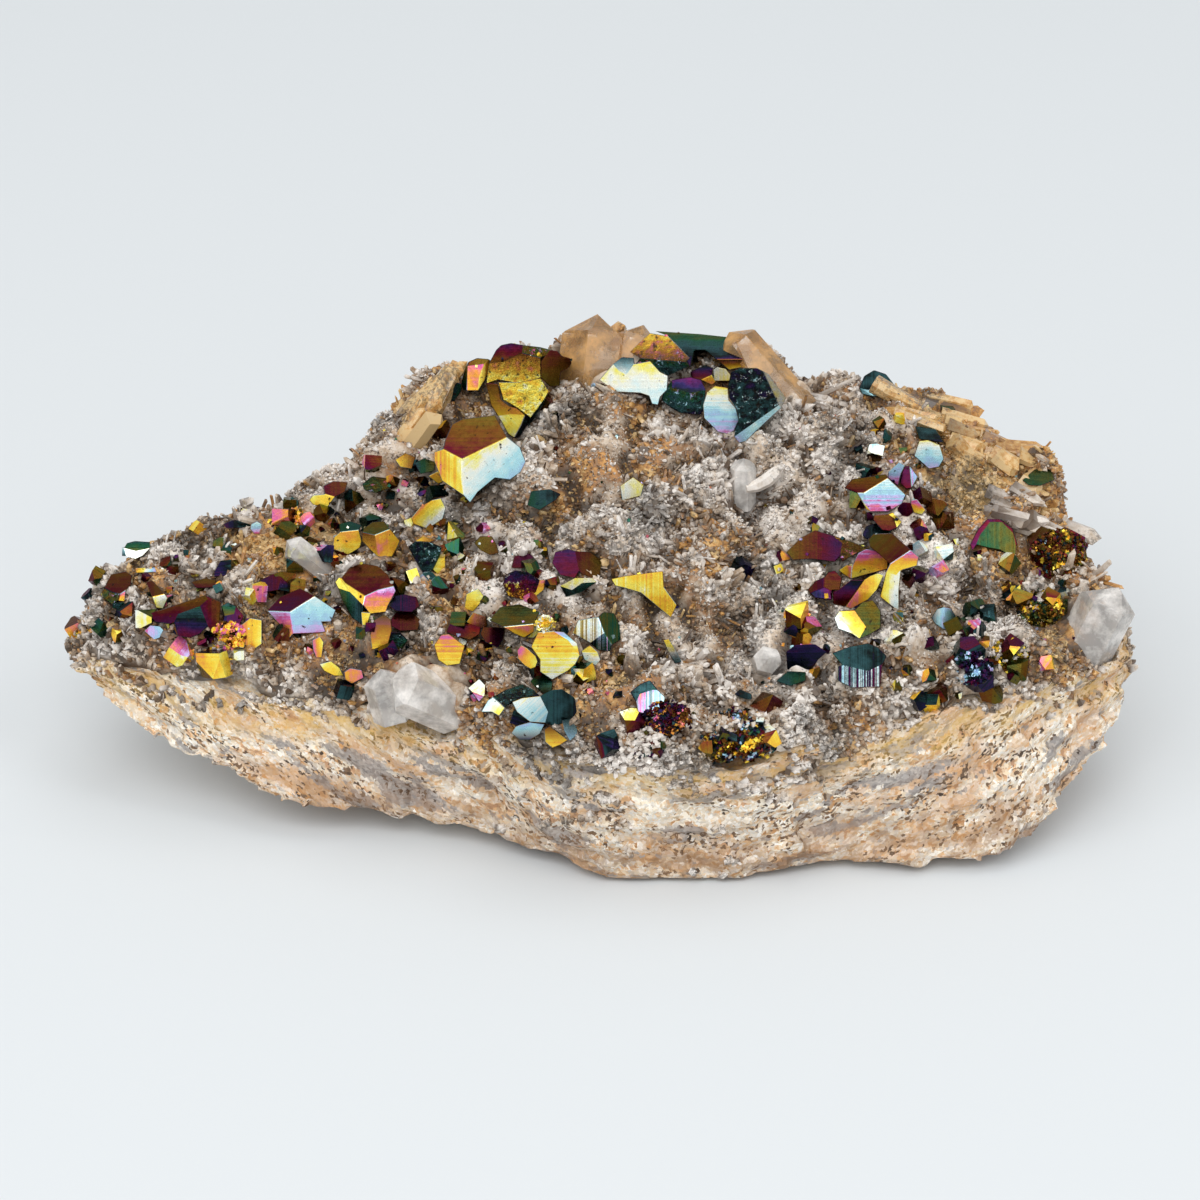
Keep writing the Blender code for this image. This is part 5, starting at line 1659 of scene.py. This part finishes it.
# Where small pyrites crowd: middle pixel, half widths in pixels, how many
CROWDS = [
    ((140, 590), (50, 36), 26), ((250, 600), (75, 55), 46), ((375, 585), (60, 80), 46),
    ((430, 500), (60, 40), 30), ((500, 590), (70, 60), 44), ((560, 690), (90, 42), 26),
    ((700, 735), (70, 22), 16), ((860, 570), (85, 60), 40), ((900, 460), (45, 50), 18),
    ((880, 660), (90, 40), 22), ((1010, 590), (60, 55), 30), ((960, 680), (60, 22), 14),
    ((500, 430), (60, 30), 8), ((300, 515), (60, 22), 18),
]
CROWD_SIZES = (0.6, 0.8, 1.0, 1.3, 1.9)
CROWD_TONES = (
    "olive khaki bronze burgundy black green teal purple olive khaki burgundy black bronze olive gold "
    "lemon orange bronze pink white"
)


def small_places():
    """The small pyrites: pixel, size in mm, and tones of top, front, left and right."""
    picker = random.Random("crowds")
    made = list(SMALL_PYRITES)
    tones = CROWD_TONES.split()
    for (px, py), (wide, high), count in CROWDS:
        for _ in range(count):
            here = (px + wide * picker.uniform(-1, 1), py + high * picker.uniform(-1, 1))
            tone = picker.choice(tones)
            other = picker.choice(tones)
            made.append((here, picker.choice(CROWD_SIZES), f"{tone} {other} {tone} {other}"))
    free = ~within_faces(*np.array([row[0] for row in made], float).T)
    return [row for row, kept in zip(made, free) if kept]


def joined(name, parts):
    """One object from several bmeshes in mm."""
    whole = bmesh.new()
    for bm in parts:
        mesh = bpy.data.meshes.new("part")
        bm.to_mesh(mesh)
        bm.free()
        whole.from_mesh(mesh)
        bpy.data.meshes.remove(mesh)
    whole.normal_update()
    bmesh.ops.recalc_face_normals(whole, faces=whole.faces[:])
    whole.transform(Matrix.Scale(MM, 4))
    return object_from(whole, name)


def make_small_pyrites():
    """Small single pyrites that stand on the druse: cubes with cut corners and edges."""
    ground = BED_STATE["tree"]
    parts = []
    rows = small_places()
    for (px, py), size, _ in rows:
        chance = random.Random(f"{px:.0f} {py:.0f}")
        place, normal = stand_on(ground, px, py)
        turn = Matrix.Rotation(chance.uniform(0, math.tau), 3, Vector((chance.random(), chance.random(), 1)))
        turn = turn @ Matrix.Rotation(chance.uniform(-0.9, 0.9), 3, "X")
        axes = [Vector(axis) for axis in ((1, 0, 0), (0, 1, 0), (0, 0, 1))]
        planes = [(axis * sign, size * chance.uniform(0.34, 0.55)) for axis in axes for sign in (1, -1)]
        for _ in range(4):
            corner = Vector([chance.choice((-1, -0.5, 0.5, 1)) for _ in range(3)]).normalized()
            planes.append((corner, size * chance.uniform(0.4, 0.56)))
        bm = trimmed_solid([(turn @ normal, distance) for normal, distance in planes], size)
        bm.transform(Matrix.Translation(place + TOWARD * size * 0.2 + normal * size * 0.1))
        parts.append(bm)
    piece = joined("pyrite_small_crystals", parts)
    paint_tarnish(piece, [(row[0], row[2]) for row in rows], 0.06)
    return piece


# A cube from -1 to 1: its corners, and the corners of its six faces
CUBE_CORNERS = np.array([[x, y, z] for x in (-1, 1) for y in (-1, 1) for z in (-1, 1)], float)
CUBE_LOOPS = np.array([0, 1, 3, 2, 4, 6, 7, 5, 0, 4, 5, 1, 2, 3, 7, 6, 0, 2, 6, 4, 1, 5, 7, 3])


# The plan that grains are strewn over, in mm, and how many grains a patch draws for each one named
STREWN_X = (-68, 50)
STREWN_Y = (-22, 44)
GRAINS_EACH = 8


def make_grains(tree, settings):
    """Pyrite grains under a millimetre, in patches and strewn over the druse, as uneven cubes."""
    chance = np.random.default_rng(11)
    picker = random.Random("grains")
    places, sizes, tones = [], [], []
    for (px, py), reach, count, names in GRAIN_PATCHES:
        names = names.split()
        for _ in range(GRAINS_EACH * count):
            out = reach / MM_PER_PX * math.sqrt(picker.random())
            turn = picker.uniform(0, math.tau)
            hit = tree.ray_cast(EYE, sight_ray(px + out * math.cos(turn), py + out * math.sin(turn) * 0.8))
            if hit[0] is not None:
                places.append(hit[0])
                sizes.append(picker.uniform(0.06, 0.2))
                share = 0.5 + noise.noise(hit[0] * 0.9) + picker.gauss(0, 0.16)
                tones.append(TONES[names[min(max(int(share * len(names)), 0), len(names) - 1)]])
    names = list(TONES)
    for _ in range(settings.strewn):
        x, y = picker.uniform(*STREWN_X), picker.uniform(*STREWN_Y)
        if share_out(np.array(x), np.array(y)) < 0.95:
            hit = tree.ray_cast(Vector((x, y, ABOVE)), DOWN)
            if hit[0] is not None:
                places.append(hit[0])
                sizes.append(picker.uniform(0.08, 0.22))
                tones.append(TONES[picker.choice(names)])
    count = len(places)
    turns = np.linalg.qr(chance.normal(size=(count, 3, 3)))[0]
    turns[:, :, 0] *= np.linalg.det(turns)[:, None]
    corners = CUBE_CORNERS[None] * (1 + chance.uniform(-0.28, 0.1, (count, 8, 1)))
    corners = np.einsum("nij,nkj->nki", turns, corners) * np.array(sizes)[:, None, None]
    verts = (corners + np.array([list(p) for p in places])[:, None]).reshape(-1, 3)
    loops = (CUBE_LOOPS[None] + (np.arange(count) * 8)[:, None]).ravel()
    film = np.repeat([run + picker.uniform(-0.05, 0.05) for run, _ in tones], 8)
    # Each grain is painted dark or bright all over by its tone, a painted reflection.
    bright = np.repeat([shine for _, shine in tones], 8)
    return mesh_object(
        "pyrite_grains", verts, (loops, np.full(count * 6, 4)),
        {"film": film, "bright": bright, "stripe": verts[:, 0], "lines": np.full(len(verts), 0.5)},
    )


# Add-on


class StoneSettings(bpy.types.PropertyGroup):
    voxel: FloatProperty(
        name="Rock detail", description="Size of the rock's mesh cells", default=0.55 * MM,
        min=0.3 * MM, unit="LENGTH", precision=5,
    )
    ledge: FloatProperty(
        name="Ledges", description="How far the ledges of the broken rock stand out",
        default=1.15 * MM, unit="LENGTH", precision=5,
    )


class DruseSettings(bpy.types.PropertyGroup):
    points: FloatProperty(name="Points", description="Share of the druse's points made", default=1.0)
    points_in_mesh: IntProperty(
        name="Points in a mesh", description="Most points that one mesh holds", default=8800
    )


class PyriteSettings(bpy.types.PropertyGroup):
    edge: FloatProperty(
        name="Edge", description="Width of the worn edge of a crystal", default=0.09 * MM,
        unit="LENGTH", precision=5,
    )
    strewn: IntProperty(name="Strewn grains", description="Grains strewn over the druse", default=700)


class StageSettings(bpy.types.PropertyGroup):
    floor: FloatVectorProperty(
        name="Floor", description="Colour of the floor", subtype="COLOR", default=linear("#DADDDF"),
    )
    front_light: FloatProperty(name="Front light", description="Watts", default=4.2, unit="POWER")
    top_light: FloatProperty(name="Top light", description="Watts", default=2.0, unit="POWER")
    side_light: FloatProperty(name="Side light", description="Watts", default=1.5, unit="POWER")
    room_light: FloatProperty(name="Room light", description="Strength of the room", default=0.64)


class SPECIMEN_OT_rock(bpy.types.Operator):
    """Make the broken granite block"""

    bl_idname = "specimen.rock"
    bl_label = "Rock"

    def execute(self, context):
        colours = {
            "feldspar": "#F0E0C6", "tan": "#E2C4A0", "brown": "#C49A7A", "orange": "#EABF90",
            "white": "#FBF7F0", "rust": "#C8935F", "quartz": "#7E7876", "pale_quartz": "#B8B0AA",
            "mica": "#84684F", "dark": "#40352E", "ochre": "#D9B05C", "brown_towards_bottom": "#96704C",
        }
        piece = make_rock(context.scene.specimen_stone)
        settle(piece, granite_material(colours), "granite", "granite_block")
        return {"FINISHED"}


class SPECIMEN_OT_druse(bpy.types.Operator):
    """Make the druse: its ground and its quartz points"""

    bl_idname = "specimen.druse"
    bl_label = "Druse"

    def execute(self, context):
        run = [
            (0.0, "#FCF3EA"), (0.2, "#E8DACB"), (0.4, "#D0BCA6"), (0.55, "#B2967A"), (0.68, "#9A6E48"),
            (0.8, "#CC9352"), (0.9, "#E0AC66"), (1.0, "#F0CC92"),
        ]
        # The dark root colours are painted shade at the bases of the points and in the pits of the druse,
        # and the colour of the few dark grains.
        ground = druse_material("quartz_druse_ground", run, "#3A2E24", 0.0, 0.6)
        points = druse_material("quartz_druse_points", run, "#604C3C", 0.15, 0.2)
        settle(make_bed(), ground, "quartz", "quartz_crust")
        for piece in make_points(context.scene.specimen_druse):
            settle(piece, points, "quartz")
        settle(make_bent_crystal(), points, "quartz")
        return {"FINISHED"}


class SPECIMEN_OT_clear_quartz(bpy.types.Operator):
    """Make the larger quartz crystals"""

    bl_idname = "specimen.clear_quartz"
    bl_label = "Larger quartz"

    def execute(self, context):
        glassy = clear_quartz_material("quartz_clear_veiled", "#F6F3EE", "#FAF4EE", 8.0, (0.3, 0.85))
        tan = clear_quartz_material("quartz_iron_stained", "#F2C684", "#E6AE66", 60.0, (0.25, 0.8))
        for node in frame["nodes"]:
            if node.startswith("quartz_") and node != "quartz_crust":
                piece = merged_copy(node, f"{node}_glass")
                apply_modifier(
                    piece, "BEVEL", width=0.07 * MM, segments=1, limit_method="ANGLE",
                    angle_limit=math.radians(25),
                )
                settle(piece, tan if "back" in node else glassy, "clear_quartz", node)
        return {"FINISHED"}


class SPECIMEN_OT_pyrite(bpy.types.Operator):
    """Make the pyrite crystals and grains"""

    bl_idname = "specimen.pyrite"
    bl_label = "Pyrite"

    def execute(self, context):
        settings = context.scene.specimen_pyrite
        tarnish = pyrite_material()
        made = make_pyrites(settings)
        for piece, node in made:
            settle(piece, tarnish, "pyrite", node)
        nets = make_nets(settings)
        for piece, nodes in nets:
            settle(piece, tarnish, "pyrite", *nodes)
        settle(make_small_pyrites(), tarnish, "pyrite")
        ground = bpy.data.objects["druse_ground"]
        tree = tree_of([ground] + [piece for piece, _ in made + nets])
        settle(make_grains(tree, settings), tarnish, "pyrite")
        return {"FINISHED"}


class SPECIMEN_OT_stage(bpy.types.Operator):
    """Make the floor, the lights and the camera"""

    bl_idname = "specimen.stage"
    bl_label = "Stage"

    def execute(self, context):
        settings = context.scene.specimen_stage
        bpy.ops.object.select_all(action="DESELECT")
        bpy.ops.mesh.primitive_plane_add(size=6.0, location=(0, 0, 0))
        floor = context.active_object
        floor.name = "floor"
        pale, tree = new_material("floor_pale_card")
        shader = add_node(tree, "ShaderNodeBsdfPrincipled", {"Roughness": 0.9})
        shader.inputs["Base Color"].default_value = (*settings.floor, 1.0)
        add_node(tree, "ShaderNodeOutputMaterial", {"Surface": shader.outputs[0]})
        floor.data.materials.append(pale)

        lights = [
            ("front_softbox", (-8.0, 50.0), 1.0, 0.7, settings.front_light),
            ("left_softbox", (-62.0, 38.0), 1.0, 0.6, settings.side_light),
            ("right_softbox", (60.0, 42.0), 1.0, 0.5, settings.side_light),
            ("top_softbox", (150.0, 72.0), 1.1, 0.7, settings.top_light),
        ]
        for name, (azimuth, elevation), distance, size, power in lights:
            a, e = math.radians(azimuth), math.radians(elevation)
            away = Vector((math.sin(a) * math.cos(e), -math.cos(a) * math.cos(e), math.sin(e)))
            bpy.ops.object.light_add(type="AREA", location=VIEW_TARGET * MM + away * distance)
            light = context.active_object
            light.name = name
            light.rotation_mode = "QUATERNION"
            light.rotation_quaternion = away.to_track_quat("Z", "Y")
            light.data.size = size
            light.data.energy = power

        world = bpy.data.worlds.new("pale_room")
        world.use_nodes = True
        context.scene.world = world
        tree = world.node_tree
        tree.nodes.clear()
        room = add_node(
            tree, "ShaderNodeBackground", {"Color": "#F2F6F8", "Strength": settings.room_light}
        )
        add_node(tree, "ShaderNodeOutputWorld", {"Surface": room.outputs[0]})
        context.scene.view_settings.view_transform = "Standard"

        bpy.ops.object.camera_add(location=EYE * MM)
        camera = context.active_object
        camera.name = "camera"
        camera.rotation_mode = "QUATERNION"
        camera.rotation_quaternion = TOWARD.to_track_quat("Z", "Y")
        camera.data.sensor_width = SENSOR
        camera.data.lens = SENSOR * VIEW_DISTANCE / (PICTURE * MM_PER_PX)
        camera.data.clip_start = 0.01
        context.scene.camera = camera
        return {"FINISHED"}


class SPECIMEN_PT_panel(bpy.types.Panel):
    """Lists what the specimen is made of"""

    bl_idname = "SPECIMEN_PT_panel"
    bl_label = "Rainbow pyrite on quartz"
    bl_space_type = "VIEW_3D"
    bl_region_type = "UI"
    bl_category = "Specimen"

    def draw(self, context):
        scene = context.scene
        groups = (scene.specimen_stone, scene.specimen_druse, scene.specimen_pyrite, scene.specimen_stage)
        for group in groups:
            box = self.layout.box()
            for name in group.__annotations__:
                box.prop(group, name)
        for operator in OPERATORS:
            self.layout.operator(operator.bl_idname)


OPERATORS = (
    SPECIMEN_OT_rock, SPECIMEN_OT_druse, SPECIMEN_OT_clear_quartz, SPECIMEN_OT_pyrite, SPECIMEN_OT_stage,
)
CLASSES = (
    StoneSettings, DruseSettings, PyriteSettings, StageSettings, *OPERATORS, SPECIMEN_PT_panel,
)


def register():
    for item in CLASSES:
        bpy.utils.register_class(item)
    bpy.types.Scene.specimen_stone = PointerProperty(type=StoneSettings)
    bpy.types.Scene.specimen_druse = PointerProperty(type=DruseSettings)
    bpy.types.Scene.specimen_pyrite = PointerProperty(type=PyriteSettings)
    bpy.types.Scene.specimen_stage = PointerProperty(type=StageSettings)


def unregister():
    for name in ("specimen_stone", "specimen_druse", "specimen_pyrite", "specimen_stage"):
        delattr(bpy.types.Scene, name)
    for item in reversed(CLASSES):
        bpy.utils.unregister_class(item)


def main():
    """Makes the whole specimen and its stage."""
    register()
    bpy.ops.specimen.rock()
    bpy.ops.specimen.druse()
    bpy.ops.specimen.clear_quartz()
    bpy.ops.specimen.pyrite()
    bpy.ops.specimen.stage()


if __name__ == "__main__":
    main()
